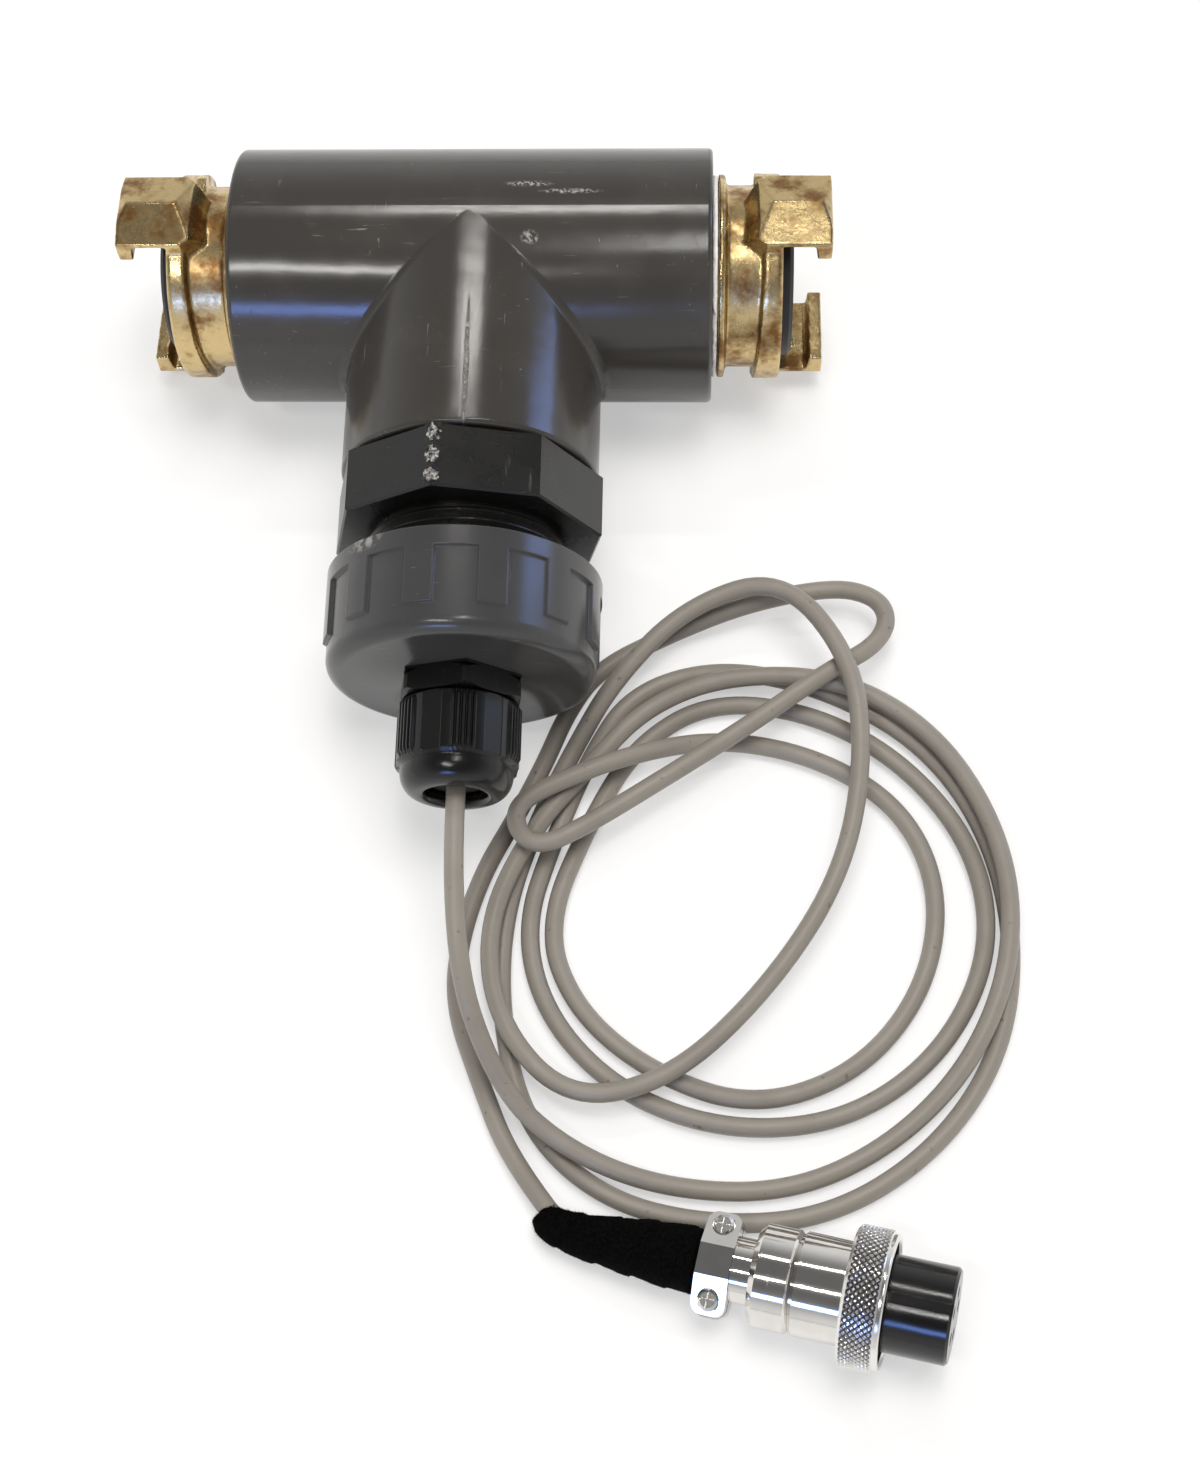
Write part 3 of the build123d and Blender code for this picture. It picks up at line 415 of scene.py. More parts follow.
def make_jacket(colour):
    """Soft grey jacket with smudges and a dull sheen"""
    material, tree, skin = blank("cable_jacket", 0.42)
    smudge = between(tree, noise_at(tree, 45.0, 5.0), 0.4, 0.75)
    specks = between(tree, noise_at(tree, 420.0, 3.0), 0.66, 0.76)
    tone = blend_colours(tree, smudge, tuple(colour), shade(colour, 0.86))
    tree.links.new(blend_colours(tree, specks, tone, (0.17, 0.13, 0.10)), skin.inputs["Base Color"])
    tree.links.new(maths(tree, "MULTIPLY_ADD", smudge, 0.14, 0.36), skin.inputs["Roughness"])
    texture = place_effect(tree, "skin_grain", **grain(1400.0, 0.00002, 260.0, 0.00012))
    tree.links.new(texture.outputs["Normal"], skin.inputs["Normal"])
    return material


def make_fleece():
    """Black fleece tape: matt, with a felted nap"""
    material, tree, skin = blank("fleece_tape", 0.95, Specular_IOR_Level=0.05)
    nap = noise_at(tree, 1500.0, 6.0, roughness=0.7)
    tone = blend_colours(tree, between(tree, nap, 0.4, 0.7), (0.0015, 0.0015, 0.0015), (0.006, 0.0056, 0.0052))
    tree.links.new(tone, skin.inputs["Base Color"])
    add_bump(tree, nap, skin.inputs["Normal"], 0.0006)
    return material


def make_tape():
    """White thread-sealing tape squeezed into folds"""
    material, tree, skin = blank("sealing_tape", 0.5)
    folds = noise_at(tree, 380.0, 5.0)
    tree.links.new(blend_colours(tree, between(tree, folds, 0.35, 0.7), (0.86, 0.85, 0.82), (0.97, 0.97, 0.96)),
                   skin.inputs["Base Color"])
    add_bump(tree, folds, skin.inputs["Normal"], 0.0006)
    return material


MATERIALS = {}


def dress(material, *nodes):
    for name in nodes:
        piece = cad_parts[name]
        piece.data.materials.clear()
        piece.data.materials.append(MATERIALS[material])
        for polygon in piece.data.polygons:
            polygon.material_index = 0


class SENSOR_OT_materials(Operator):
    """Mix the shared effects and the materials"""
    bl_idname = "sensor.materials"
    bl_label = "Mix the materials"

    def execute(self, context):
        fitting, cord = context.scene.sensor_fitting, context.scene.sensor_cord
        for name, make in (("skin_grain", make_grain), ("handling_marks", make_marks), ("ragged_spot", make_spot)):
            EFFECTS[name] = make()
        soft = grain(1500.0, 0.000012, 120.0, 0.00007)
        branch_top = CROSS.z + TEE_RADIUS
        MATERIALS["pvc"] = plastic(
            "tee_pvc", fitting.pvc_colour, 0.17, soft, 0.4, (0.34, 0.32, 0.30),
            spots=[((CROSS.x + 14 * MM, CROSS.y + 6.5 * MM, branch_top - 1 * MM), (0.007, 0.0012, 0.004), 1500.0),
                   ((CROSS.x + 24 * MM, CROSS.y + 4.2 * MM, branch_top), (0.009, 0.0010, 0.004), 1200.0),
                   ((CROSS.x + 14.5 * MM, CROSS.y - 8 * MM, branch_top - 1.5 * MM), (0.0025, 0.0022, 0.003), 1300.0),
                   # the band along the branch's top: scuffing on the mould seam, and its pale colour is a painted
                   # highlight along the seam
                   ((CROSS.x + 1.2 * MM, CROSS.y - 44 * MM, branch_top), (0.0007, 0.022, 0.004), 1900.0)])
        MATERIALS["black"] = plastic("nipple_plastic", (0.0075, 0.0072, 0.0068), 0.27,
                                     grain(2200.0, 0.00003, 150.0, 0.00005), 0.7, (0.10, 0.095, 0.09))
        MATERIALS["cap"] = plastic(
            "cap_plastic", fitting.cap_colour, 0.2, grain(1900.0, 0.000016, 100.0, 0.00005), 0.2, (0.30, 0.29, 0.27),
            spots=[((CROSS.x - 21 * MM, CAP_RIM_Y - 1 * MM, CROSS.z + 25 * MM), (0.008, 0.003, 0.006), 500.0)])
        MATERIALS["scuffed"] = plastic(
            "bitten_plastic", (0.12, 0.115, 0.11), 0.28, grain(2400.0, 0.00012, 500.0, 0.0003), 1.0,
            (0.55, 0.53, 0.50),
            spots=[((CROSS.x - 5.5 * MM, CROSS.y - 66.6 * MM, CROSS.z + 32 * MM), (0.008, 0.014, 0.008), 1300.0)])
        MATERIALS["nylon"] = plastic("gland_nylon", (0.0045, 0.0044, 0.0042), 0.2,
                                     grain(2600.0, 0.00002, 200.0, 0.00003), 0.5, (0.05, 0.05, 0.05))
        MATERIALS["rubber"] = plastic("seal_rubber", (0.012, 0.012, 0.012), 0.55,
                                      grain(1800.0, 0.00005, 150.0, 0.00003), 0.5, (0.05, 0.05, 0.05))
        MATERIALS["insert"] = plastic("insert_plastic", (0.004, 0.004, 0.0042), 0.16,
                                      grain(2400.0, 0.00001, 170.0, 0.00003), 0.7, (0.06, 0.06, 0.06))
        MATERIALS["rotor"] = plastic("rotor_plastic", (0.74, 0.73, 0.69), 0.4, soft, 0.3, (0.55, 0.53, 0.48),
                                     patch=0.94)
        MATERIALS["board"] = plastic("solder_mask", (0.010, 0.11, 0.045), 0.3, soft, 0.3, (0.5, 0.42, 0.2))
        MATERIALS["brass"] = make_brass(fitting.brass_colour)
        MATERIALS["chrome"] = make_chrome("plated_shell", 0.08, (0.74, 0.72, 0.69), 0.00004)
        MATERIALS["knurl"] = make_chrome("plated_knurl", 0.16, (0.80, 0.785, 0.76))
        # darker, rougher metal for the bottoms of the knurl's grooves: painted shade in the grooves
        MATERIALS["groove"] = make_chrome("knurl_groove", 0.35, (0.24, 0.23, 0.22))
        MATERIALS["steel"] = make_chrome("bright_steel", 0.24, (0.72, 0.71, 0.69))
        MATERIALS["gold"] = make_chrome("plated_contact", 0.22, (0.88, 0.68, 0.34))
        MATERIALS["jacket"] = make_jacket(cord.cable_colour)
        MATERIALS["fleece"] = make_fleece()
        MATERIALS["tape"] = make_tape()
        return {"FINISHED"}


class SENSOR_OT_cable(Operator):
    """Lay the cable along its route"""
    bl_idname = "sensor.cable"
    bl_label = "Lay the cable"

    def execute(self, context):
        look = context.scene.sensor_cord
        curve = bpy.data.curves.new("cable_run", "CURVE")
        curve.dimensions = "3D"
        line = curve.splines.new("NURBS")
        line.points.add(len(ROUTE) - 1)
        for point, place in zip(line.points, ROUTE):
            point.co = (*(Vector(place) * MM), 1)
        line.order_u = 3
        line.use_endpoint_u = True
        line.resolution_u = 10
        curve.bevel_depth = look.cable_diameter / 2
        curve.bevel_resolution = 6
        curve.use_fill_caps = True
        curve.materials.append(MATERIALS["jacket"])
        cable = bpy.data.objects.new("cable_run", curve)
        context.scene.collection.objects.link(cable)
        stands_for(cable, "fitting", "cable_grey", "cable")
        return {"FINISHED"}


class SENSOR_OT_sleeve(Operator):
    """Wrap the fleece sleeve from the cable to the plug's clamp"""
    bl_idname = "sensor.sleeve"
    bl_label = "Wrap the sleeve"

    # centre line in millimetres, and the radius at each point
    path = [(20.2, -174.0, 4.6, 2.6), (20.9, -174.8, 4.8, 3.6), (22.6, -176.1, 5.1, 4.2), (26.5, -177.9, 5.6, 4.8),
            (32.0, -179.4, 6.4, 5.3), (40.0, -181.1, 7.6, 6.3), (48.0, -182.8, 8.8, 7.2), (55.0, -184.35, 9.9, 7.45)]
    turn_pitch = 8.5 * MM
    ledge = 0.35 * MM

    def centre(self, t):
        """Point, direction and radius at t from 0 to 1, on one smooth curve through the path"""
        spans = len(self.path) - 1
        number = min(spans - 1, int(t * spans))
        u = t * spans - number
        p = [Vector(self.path[min(spans, max(0, number + k))]) * MM for k in (-1, 0, 1, 2)]
        spot = 0.5 * (2 * p[1] + (p[2] - p[0]) * u + (2 * p[0] - 5 * p[1] + 4 * p[2] - p[3]) * u * u
                      + (3 * p[1] - p[0] - 3 * p[2] + p[3]) * u ** 3)
        return spot.xyz, spot.w

    def execute(self, context):
        rings, around = 110, 96
        verts, faces, normals = [], [], []
        travelled = 0.0
        before, _ = self.centre(0)
        for ring in range(rings + 1):
            t = ring / rings
            here, radius = self.centre(t)
            ahead, behind = self.centre(min(1, t + 0.004))[0], self.centre(max(0, t - 0.004))[0]
            way = (ahead - behind).normalized()
            side = way.cross(UP).normalized()
            up = side.cross(way)
            travelled += (here - before).length
            before = here
            for column in range(around):
                angle = 2 * pi * column / around
                out = up * cos(angle) + side * sin(angle)
                phase = (travelled / self.turn_pitch + column / around) % 1.0
                step = self.ledge * (smooth_step(phase / 0.94) if phase < 0.94 else smooth_step((1 - phase) / 0.06))
                lumps = 0.28 * MM * noise.noise(here * 240 + out * 1.6) + 0.1 * MM * noise.noise(here * 900 + out * 6)
                place = here + out * (radius + step - self.ledge + lumps)
                place.z = max(place.z, 0.05 * MM)
                verts.append(place)
                normals.append(out)
        for ring in range(rings):
            for column in range(around):
                after = (column + 1) % around
                faces.append((ring * around + column, ring * around + after,
                              (ring + 1) * around + after, (ring + 1) * around + column))
        for ring, order in ((0, 1), (rings, -1)):
            rim = [ring * around + column for column in range(around)]
            verts.append(sum((verts[number] for number in rim), Vector()) / around)
            faces += [tuple([len(verts) - 1, rim[column], rim[(column + 1) % around]][::-order])
                      for column in range(around)]
        rolls = random.Random(7)
        for _ in range(context.scene.sensor_cord.fibres):
            number = rolls.randrange(len(normals))
            root, out = verts[number], normals[number]
            lean = Vector((rolls.gauss(0, 1), rolls.gauss(0, 1), rolls.gauss(0, 1))).normalized()
            reach = rolls.uniform(0.25, 0.75) * MM
            way = (out + lean * 0.9).normalized()
            width = way.cross(lean).normalized() * 0.022 * MM
            middle = root + way * reach * 0.55
            tip = middle + (way + lean * 0.6).normalized() * reach * 0.45
            if min(middle.z, tip.z) < 0.03 * MM:
                continue
            start = len(verts)
            verts += [root - width, root + width, middle + width * 0.8, middle - width * 0.8, tip]
            faces += [(start, start + 1, start + 2, start + 3), (start + 3, start + 2, start + 4)]
        sleeve = new_object("fleece_sleeve", verts, faces, MATERIALS["fleece"])
        stands_for(sleeve, "fitting", "sleeve_black", "plug_sleeve")
        return {"FINISHED"}


class SENSOR_OT_plug(Operator):
    """Knurl the plug's ring and finish its shell, clamp, screws and insert"""
    bl_idname = "sensor.plug"
    bl_label = "Finish the plug"

    ring_start, ring_length, outer, shell = 32.8 * MM, 9.2 * MM, 15.3 * MM, 11.3 * MM

    def execute(self, context):
        look = context.scene.sensor_cord
        start, end, outer = self.ring_start, self.ring_start + self.ring_length, self.outer
        knurl_low, knurl_high = start + 0.9 * MM, end - 1.5 * MM
        base = [(self.shell, start + 0.1 * MM), (outer - 0.8 * MM, start + 0.1 * MM), (outer, start + 0.9 * MM),
                (outer, end - 1.5 * MM), (outer - 0.55 * MM, end - 1.25 * MM), (outer - 0.5 * MM, end - 0.45 * MM),
                (outer - 0.9 * MM, end), (outer - 1.7 * MM, end), (outer - 2.0 * MM, end - 0.5 * MM),
                (outer - 2.0 * MM, start + 3.4 * MM), (self.shell, start + 3.4 * MM)]
        outline = filled(rounded(base, 0.16 * MM, 2), 0.13 * MM, knurl_low - 0.2 * MM, knurl_high + 0.2 * MM)
        teeth = round(2 * pi * outer / look.knurl_pitch)

        def knurl(angle, radius, station):
            if radius < outer - 0.3 * MM or not knurl_low <= station <= knurl_high:
                return 0.0
            turn, slip = angle / (2 * pi) * teeth, (station - knurl_low) / look.knurl_pitch
            one, two = (turn + slip) % 1.0, (turn - slip) % 1.0
            peak = min(1 - abs(2 * one - 1), 1 - abs(2 * two - 1))
            return look.knurl_depth * (min(1.0, 1.5 * peak) - 1)

        ring = turned("knurled_ring", PLUG_AT, PLUG_WAY, PLUG_UP, outline, teeth * 10, MATERIALS["knurl"], knurl)
        # faces deep in the knurl's grooves take the darker metal: painted shade in the grooves
        ring.data.materials.append(MATERIALS["groove"])
        for polygon in ring.data.polygons:
            polygon.use_smooth = False
            away = polygon.center - PLUG_AT
            station = away.dot(PLUG_WAY)
            depth = outer - (away - station * PLUG_WAY).length
            if knurl_low < station < knurl_high and 0.62 * look.knurl_depth < depth < 0.6 * MM:
                polygon.material_index = 1
        stands_for(ring, "plug_ring_body", "chrome_plate", "plug_ring")
        dress("chrome", "plug_shell_rear", "plug_shell_front", "plug_clamp_bar")
        dress("steel", "plug_clamp_screw_1", "plug_clamp_screw_2")
        dress("insert", "plug_insert")
        dress("gold", "plug_contacts")
        return {"FINISHED"}


class SENSOR_OT_cord_facts(Operator):
    """An empty step: it does nothing and says nothing about the cable"""
    bl_idname = "sensor.cord_facts"
    bl_label = "Declare the cable"

    def execute(self, context):
        return {"FINISHED"}


class SENSOR_OT_couplings(Operator):
    """Cast the two brass claw couplings with soft edges and a pitted skin"""
    bl_idname = "sensor.couplings"
    bl_label = "Cast the couplings"

    def execute(self, context):
        cell = context.scene.sensor_fitting.casting_cell
        for side in ("left", "right"):
            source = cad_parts[f"coupling_{side}"]
            casting = bpy.data.objects.new(f"brass_coupling_{side}", source.data.copy())
            context.scene.collection.objects.link(casting)
            casting.data.materials.clear()
            remesh = casting.modifiers.new("cells", "REMESH")
            remesh.mode, remesh.voxel_size, remesh.use_smooth_shade = "VOXEL", cell, True
            soften = casting.modifiers.new("soften", "SMOOTH")
            soften.factor, soften.iterations = 0.5, 5
            mesh = bpy.data.meshes.new_from_object(casting.evaluated_get(context.evaluated_depsgraph_get()))
            casting.modifiers.clear()
            casting.data = mesh
            skin = [(vertex.co.copy(), vertex.normal.copy()) for vertex in mesh.vertices]
            moved = []
            for place, out in skin:
                swell = 0.05 * MM * noise.noise(place * 180) + 0.008 * MM * noise.noise(place * 900)
                moved.extend(place + out * swell)
            mesh.vertices.foreach_set("co", moved)
            mesh.materials.clear()
            mesh.materials.append(MATERIALS["brass"])
            for polygon in mesh.polygons:
                polygon.use_smooth = True
            stands_for(casting, "fitting", "brass_cast", f"coupling_{side}")
        dress("rubber", "seal_left", "seal_right")
        return {"FINISHED"}


class SENSOR_OT_tape(Operator):
    """Squeeze the sealing tape out beside the right coupling"""
    bl_idname = "sensor.tape"
    bl_label = "Wind the tape"

    def execute(self, context):
        inner, outer = 21.0 * MM, 24.5 * MM
        outline = rounded([(inner, -0.05 * MM), (outer - 0.6 * MM, -0.05 * MM), (outer, 0.4 * MM),
                           (outer - 0.2 * MM, 1.2 * MM), (inner, 1.3 * MM)], 0.3 * MM, 3)

        def ragged(angle, radius, station):
            if radius < inner + 1.5 * MM:
                return 0.0
            ring = Vector((cos(angle), sin(angle), station * 60))
            return 0.55 * MM * noise.noise(ring * 5.0) + 0.3 * MM * noise.noise(ring * 17.0)

        mouth = Vector((TEE_HIGH.x, CROSS.y, CROSS.z))
        tape = turned("squeezed_tape", mouth, Vector((1, 0, 0)), UP, outline, 300, MATERIALS["tape"], ragged)
        stands_for(tape, "fitting", "ptfe_white", "tape_right")
        return {"FINISHED"}


class SENSOR_OT_tee(Operator):
    """Finish the tee, its bushes and the octagon nipple with its wrench marks"""
    bl_idname = "sensor.tee"
    bl_label = "Finish the tee"

    corner_turn = radians(9.7)      # of the octagon corner nearest the top, from up towards -X
    across_flats = 60.5 * MM

    def execute(self, context):
        dress("pvc", "tee_body", "bush_left", "bush_right")
        dress("black", "nipple")
        start, length = 58.6 * MM, 16.0 * MM
        out = self.across_flats / 2 / cos(pi / 8)
        columns, rows, reach = 21, 64, 2.1 * MM
        verts, faces = [], []
        for row in range(rows + 1):
            along = row / rows
            bite = abs(sin(3.0 * pi * along)) ** 0.6
            for column in range(columns):
                across = (column / (columns - 1) * 2 - 1) * reach
                drop = abs(across) * tan(pi / 8)
                edge = 1 - (abs(across) / reach) ** 2
                jitter = noise.noise(Vector((across * 1500, along * 26, 3.0)))
                fray = noise.noise(Vector((across * 3400, along * 70, 8.0)))
                height = (0.85 * bite * edge * (0.35 + jitter) + 0.4 * bite * edge * fray) * MM - 0.08 * MM
                spot = about(CROSS, BRANCH_WAY, UP, start + along * length, out - drop + height, self.corner_turn)
                side = BRANCH_WAY.cross(UP) * cos(self.corner_turn) - UP * sin(self.corner_turn)
                verts.append(spot + side * across)
        for row in range(rows):
            for column in range(columns - 1):
                here = row * columns + column
                faces.append((here, here + 1, here + columns + 1, here + columns))
        marks = new_object("wrench_marks", verts, faces, MATERIALS["scuffed"], smooth=False)
        marks.data.materials.append(MATERIALS["black"])
        ridge = CROSS + (UP * cos(self.corner_turn) + BRANCH_WAY.cross(UP) * sin(self.corner_turn)) * out
        for polygon in marks.data.polygons:
            away = polygon.center - ridge
            along = (away.dot(BRANCH_WAY) - start) / length
            across = (away - away.dot(BRANCH_WAY) * BRANCH_WAY).length
            ragged = noise.noise(polygon.center * 900)
            if abs(sin(3.0 * pi * along)) - across / (2.3 * MM) + 0.7 * ragged < 0.25:
                polygon.material_index = 1
        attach(marks, "fitting")
        return {"FINISHED"}


class SENSOR_OT_inside(Operator):
    """Finish the probe, the paddle wheel and the electronics"""
    bl_idname = "sensor.inside"
    bl_label = "Finish the inside"

    def execute(self, context):
        dress("black", "probe_stem")
        dress("rubber", "probe_o_ring_1", "probe_o_ring_2", "cap_gasket", "gland_grommet")
        dress("steel", "rotor_axle", "rotor_magnets")
        dress("rotor", "paddle_wheel")
        dress("board", "sensor_board")
        dress("insert", "hall_chip", "potting")
        dress("gold", "board_leads")
        dress("jacket", "cable_inside")
        return {"FINISHED"}


class SENSOR_OT_cap(Operator):
    """Mould the screw cap with its band of tabs"""
    bl_idname = "sensor.cap"
    bl_label = "Mould the cap"

    rim, face, floor_t = 84.4 * MM, 109.8 * MM, 4.5 * MM
    outer, relief, band, tab_length, tab_width = 32.5 * MM, 0.9 * MM, 5.0 * MM, 13.6 * MM, 7.0 * MM
    tabs, first_tab = 12, radians(13.0)
    thread, recess, shoulder, hole = 24.2 * MM, 19.0 * MM, 98.34 * MM, 10.1 * MM

    def execute(self, context):
        edge = context.scene.sensor_fitting.tab_edge
        low = self.outer - self.relief
        curve = 3.6 * MM
        corner = [(low - curve + curve * sin(step / 10 * pi / 2), self.face - curve + curve * cos(step / 10 * pi / 2))
                  for step in range(10, -1, -1)]
        inside = [(self.hole, self.face), (self.hole, self.face - self.floor_t),
                  (self.recess, self.face - self.floor_t), (self.recess, self.shoulder),
                  (self.thread, self.shoulder), (self.thread, self.rim)]
        outline = rounded(inside, 0.25 * MM, 2)
        outline += [(low - 0.35 * MM, self.rim), (low, self.rim + 0.35 * MM)]
        outline = filled(outline + corner, 0.16 * MM, self.rim + 0.3 * MM, self.face - curve + 0.01 * MM)

        def raised(angle, radius, station):
            if radius < low - 0.4 * MM or station > self.face - curve + 0.02 * MM:
                return 0.0
            pitch = 2 * pi / self.tabs
            off = (angle - self.first_tab + pitch / 2) % pitch - pitch / 2
            beside = self.tab_width / 2 - abs(off) * self.outer
            before = self.rim + self.band + self.tab_length - station
            in_band = self.rim + self.band - station
            inside_tab = min(beside, before)
            depth = max(inside_tab, in_band)
            return self.relief * smooth_step(0.5 + depth / edge)

        cap = turned("moulded_cap", CROSS, BRANCH_WAY, UP, outline, 1296, MATERIALS["cap"], raised)
        stands_for(cap, "cap", "cap_grey", "screw_cap")
        return {"FINISHED"}


class SENSOR_OT_gland(Operator):
    """Mould the gland's ribbed nut and finish its body"""
    bl_idname = "sensor.gland"
    bl_label = "Mould the gland"

    back, ribbed, end = 116.1 * MM, 15.2 * MM, 137.7 * MM
    outer, rib_height, rib_width, rib_pitch = 15.0 * MM, 0.75 * MM, 0.72 * MM, radians(4.9)
    corner_turn, ribs, hole, neck = radians(-10.0), 5, 7.2 * MM, 11.3 * MM

    def execute(self, context):
        dress("nylon", "gland_body", "gland_locknut")
        rib_end = self.back + self.ribbed
        root = self.outer - self.rib_height
        dome = []
        for step in range(15):
            t = step / 14
            bulge = (1 - t) ** 3, 3 * t * (1 - t) ** 2, 3 * t * t * (1 - t), t ** 3
            radii = (13.1, 13.4, 11.6, 8.3)
            stations = (rib_end, rib_end + 3.6 * MM, self.end + 0.1 * MM, self.end)
            dome.append((sum(b * r for b, r in zip(bulge, radii)) * MM, sum(b * s for b, s in zip(bulge, stations))))
        outline = [(self.neck, self.back), (root - 1.0 * MM, self.back), (root - 0.2 * MM, self.back + 0.5 * MM)]
        rows = 60
        outline += [(root, self.back + 0.6 * MM + (self.ribbed - 1.0 * MM) * row / rows) for row in range(rows + 1)]
        outline += dome
        outline += [(self.hole + 0.5 * MM, self.end - 0.05 * MM), (self.hole, self.end - 0.9 * MM),
                    (self.hole - 0.2 * MM, self.end - 3.0 * MM), (self.neck - 0.8 * MM, self.end - 6.0 * MM),
                    (self.neck, self.end - 12.0 * MM)]

        def ribbing(angle, radius, station):
            if abs(radius - root) > 0.001 * MM:
                return 0.0
            off = (angle - self.corner_turn + pi / 6) % (pi / 3) - pi / 6
            flat = (root - 0.3 * MM) / cos(pi / 6 - abs(off)) if abs(off) > 0.36 else root
            base = min(0.0, flat - root)
            number = round(off / self.rib_pitch)
            if abs(number) > self.ribs // 2:
                return base
            beside = self.rib_width / 2 - abs(off - number * self.rib_pitch) * self.outer
            fade = smooth_step((rib_end - 0.3 * MM - station) / (1.6 * MM)) * smooth_step(
                (station - self.back - 0.5 * MM) / (1.2 * MM))
            return base + self.rib_height * fade * smooth_step(0.5 + beside / (0.34 * MM))

        nut = turned("ribbed_nut", CROSS, BRANCH_WAY, UP, outline, 1080, MATERIALS["nylon"], ribbing)
        stands_for(nut, "nut", "nylon_black", "gland_nut")
        return {"FINISHED"}


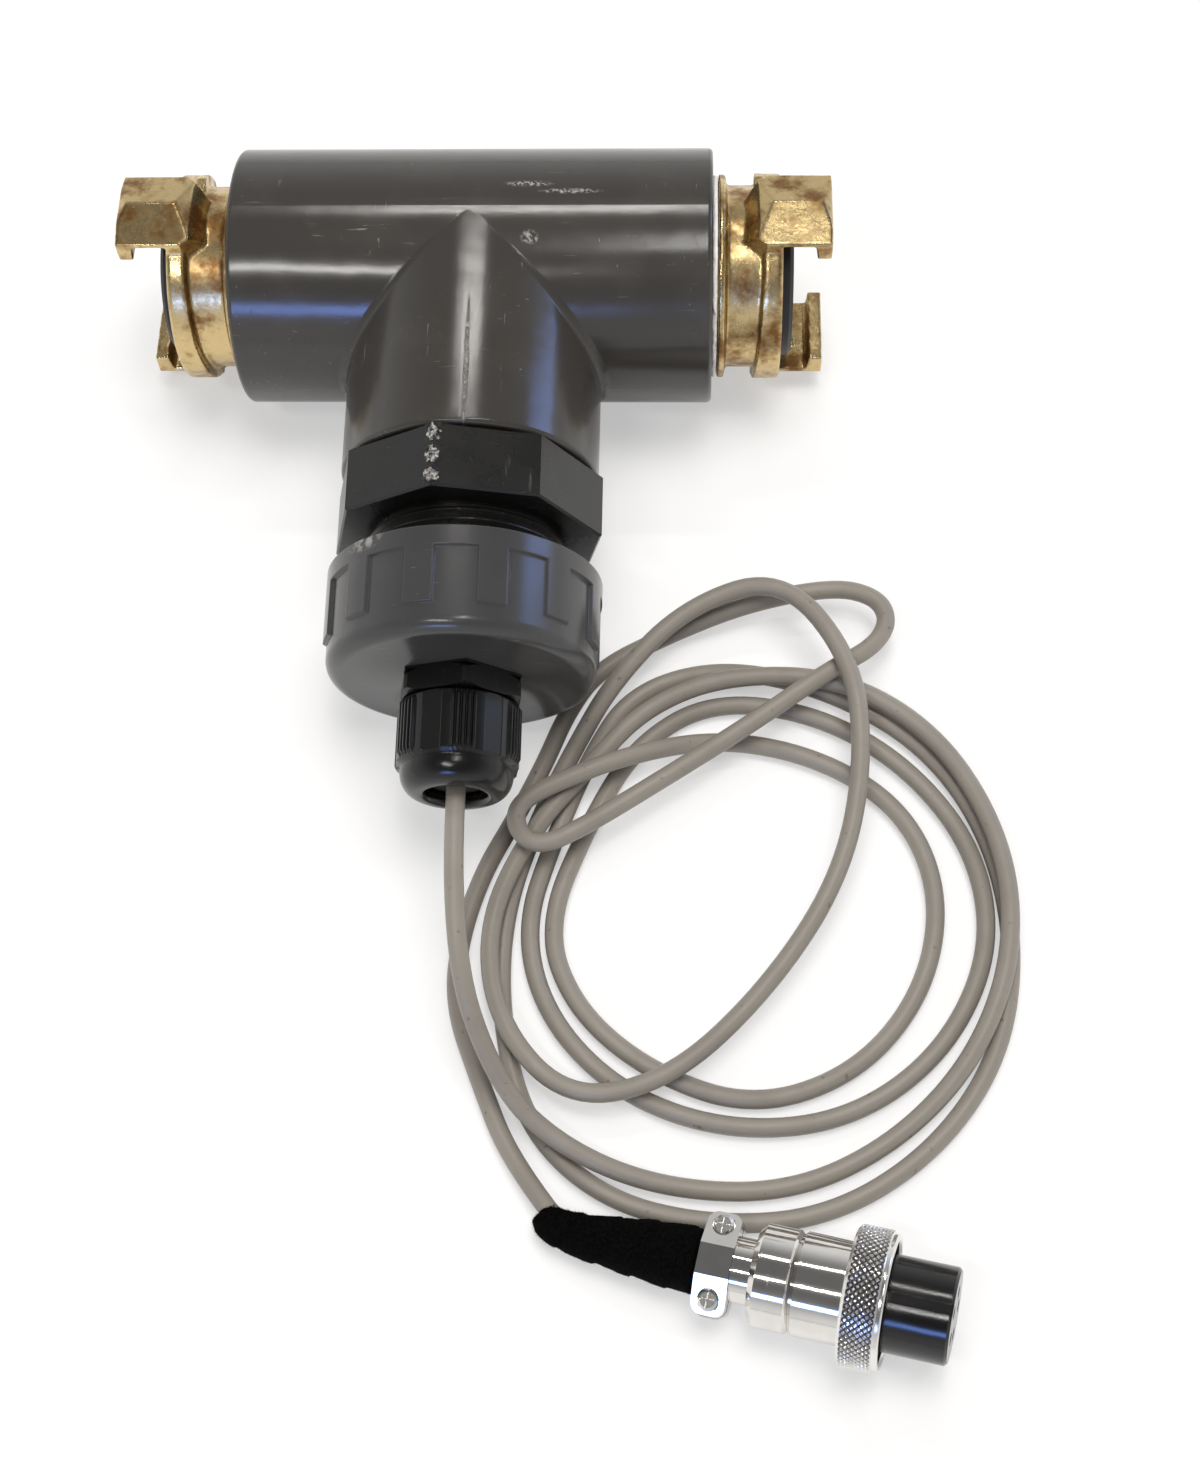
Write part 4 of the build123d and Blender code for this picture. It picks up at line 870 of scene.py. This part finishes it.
class SENSOR_OT_stage(Operator):
    """Set the table, the lamps and the camera"""
    bl_idname = "sensor.stage"
    bl_label = "Set the stage"

    eye = Vector((0.05206, -0.24592, 0.50244))
    forward = Vector((-0.0398, 0.3533, -0.9347))
    camera_up = Vector((-0.0073, 0.9353, 0.3539))

    # name, place, target, width, height, power in watts and colour
    lamps = [
        ("ceiling", (0.20, 0.15, 1.5), (0.03, -0.03, 0), 0.8, 0.7, 14.0, (1.0, 0.98, 0.95)),
        ("panel", (0.09, 0.03, 1.05), (0.04, 0.04, 0.06), 0.26, 0.09, 1.0, (1.0, 0.98, 0.95)),
        ("tube_back", (-0.03, 0.62, 1.05), (0.02, 0.02, 0.03), 0.34, 0.028, 1.8, (1.0, 0.97, 0.93)),
        ("tube_front", (-0.24, -0.36, 0.98), (-0.03, 0.02, 0.03), 0.30, 0.025, 1.6, (1.0, 0.98, 0.95)),
        ("window", (-0.24, -1.0, 0.62), (0, 0, 0.03), 0.34, 0.17, 2.2, (0.20, 0.36, 1.0)),
        ("side_window", (0.86, 0.45, 0.40), (0, 0, 0.03), 0.16, 0.4, 1.1, (0.25, 0.42, 1.0)),
    ]

    def table(self, look):
        size = 3.0
        floor_piece = new_object("table", [(-size, -size, 0), (size, -size, 0), (size, size, 0), (-size, size, 0)],
                                 [(0, 1, 2, 3)], self.paper(look), smooth=False)
        floor_piece.location = (0, 0, -0.0002)

    def paper(self, look):
        """White to the camera and in reflections, and it keeps the shade"""
        material = bpy.data.materials.new("white_table")
        material.use_nodes = True
        tree = material.node_tree
        skin = tree.nodes["Principled BSDF"]
        skin.inputs["Base Color"].default_value = (0.97, 0.97, 0.97, 1)
        skin.inputs["Roughness"].default_value = 0.8
        skin.inputs["Specular IOR Level"].default_value = 0.1
        glow = node(tree, "ShaderNodeEmission")
        glow.inputs["Color"].default_value = (1, 1, 1, 1)
        rays = node(tree, "ShaderNodeLightPath")
        far = node(tree, "ShaderNodeVectorMath", operation="LENGTH")
        tree.links.new(node(tree, "ShaderNodeTexCoord").outputs["Object"], far.inputs[0])
        bare = between(tree, far.outputs["Value"], 0.3, 0.75, 1 - look.shade, 1.0)
        seen = maths(tree, "MULTIPLY", rays.outputs["Is Camera Ray"], bare)
        glossy = maths(tree, "MULTIPLY", rays.outputs["Is Glossy Ray"], 0.25)
        mix = node(tree, "ShaderNodeMixShader")
        tree.links.new(maths(tree, "MAXIMUM", seen, glossy), mix.inputs["Fac"])
        tree.links.new(skin.outputs["BSDF"], mix.inputs[1])
        tree.links.new(glow.outputs["Emission"], mix.inputs[2])
        tree.links.new(mix.outputs["Shader"], tree.nodes["Material Output"].inputs["Surface"])
        return material

    def lamp(self, name, place, target, width, height, power, colour):
        light = bpy.data.lights.new(name, "AREA")
        light.shape, light.size, light.size_y = "RECTANGLE", width, height
        light.energy, light.color = power, colour
        stand = bpy.data.objects.new(name, light)
        aim = (Vector(target) - Vector(place)).to_track_quat("-Z", "Y").to_matrix().to_4x4()
        stand.matrix_world = Matrix.Translation(place) @ aim
        bpy.context.scene.collection.objects.link(stand)
        return stand

    def execute(self, context):
        look, scene = context.scene.sensor_stage, context.scene
        self.table(look)
        camera = bpy.data.cameras.new("camera")
        camera.lens, camera.sensor_fit, camera.sensor_width = look.lens, "HORIZONTAL", 36.0
        camera.clip_start, camera.clip_end = 0.02, 20.0
        stand = bpy.data.objects.new("camera", camera)
        scene.collection.objects.link(stand)
        back = -self.forward.normalized()
        right = self.camera_up.cross(back).normalized()
        up = back.cross(right)
        turn = Matrix((right, up, back)).transposed().to_4x4()
        stand.matrix_world = Matrix.Translation(self.eye) @ turn
        scene.camera = stand

        world = bpy.data.worlds.new("room")
        scene.world = world
        world.use_nodes = True
        tree = world.node_tree
        backdrop = tree.nodes["Background"]
        backdrop.inputs["Color"].default_value = (1, 1, 1, 1)
        way = node(tree, "ShaderNodeSeparateXYZ")
        tree.links.new(node(tree, "ShaderNodeTexCoord").outputs["Generated"], way.inputs["Vector"])
        room = between(tree, way.outputs["Z"], 0.05, 0.85, 0.85, 0.16)
        rays = node(tree, "ShaderNodeLightPath")
        tree.links.new(maths(tree, "MAXIMUM", rays.outputs["Is Camera Ray"], room), backdrop.inputs["Strength"])

        stands = {}
        for name, place, target, width, height, power, colour in self.lamps:
            stands[name] = self.lamp(name, place, target, width, height, power * look.light, colour)
        stands["ceiling"].visible_glossy = False
        stands["window"].visible_diffuse = stands["side_window"].visible_diffuse = False
        scene.view_settings.view_transform = "Standard"
        return {"FINISHED"}


class SENSOR_PT_panel(Panel):
    """Flow sensor pieces, in the order in which they are made"""
    bl_idname = "SENSOR_PT_panel"
    bl_label = "Flow sensor"
    bl_space_type = "VIEW_3D"
    bl_region_type = "UI"
    bl_category = "Flow sensor"

    def draw(self, context):
        for group in ("sensor_fitting", "sensor_cord", "sensor_stage"):
            box = self.layout.box()
            settings = getattr(context.scene, group)
            for name in settings.__annotations__:
                box.prop(settings, name)
        for step in STEPS:
            self.layout.operator(step.bl_idname)


STEPS = [SENSOR_OT_stage, SENSOR_OT_materials, SENSOR_OT_cable, SENSOR_OT_sleeve, SENSOR_OT_plug,
         SENSOR_OT_cord_facts, SENSOR_OT_couplings, SENSOR_OT_tape, SENSOR_OT_tee, SENSOR_OT_inside,
         SENSOR_OT_cap, SENSOR_OT_gland]
CLASSES = [FittingLook, CordLook, StageLook, *STEPS, SENSOR_PT_panel]


def register():
    for made in CLASSES:
        bpy.utils.register_class(made)
    bpy.types.Scene.sensor_fitting = PointerProperty(type=FittingLook)
    bpy.types.Scene.sensor_cord = PointerProperty(type=CordLook)
    bpy.types.Scene.sensor_stage = PointerProperty(type=StageLook)


def unregister():
    del bpy.types.Scene.sensor_fitting, bpy.types.Scene.sensor_cord, bpy.types.Scene.sensor_stage
    for made in reversed(CLASSES):
        bpy.utils.unregister_class(made)


def main():
    register()
    for step in STEPS:
        group, name = step.bl_idname.split(".")
        getattr(getattr(bpy.ops, group), name)()


if __name__ == "__main__":
    main()
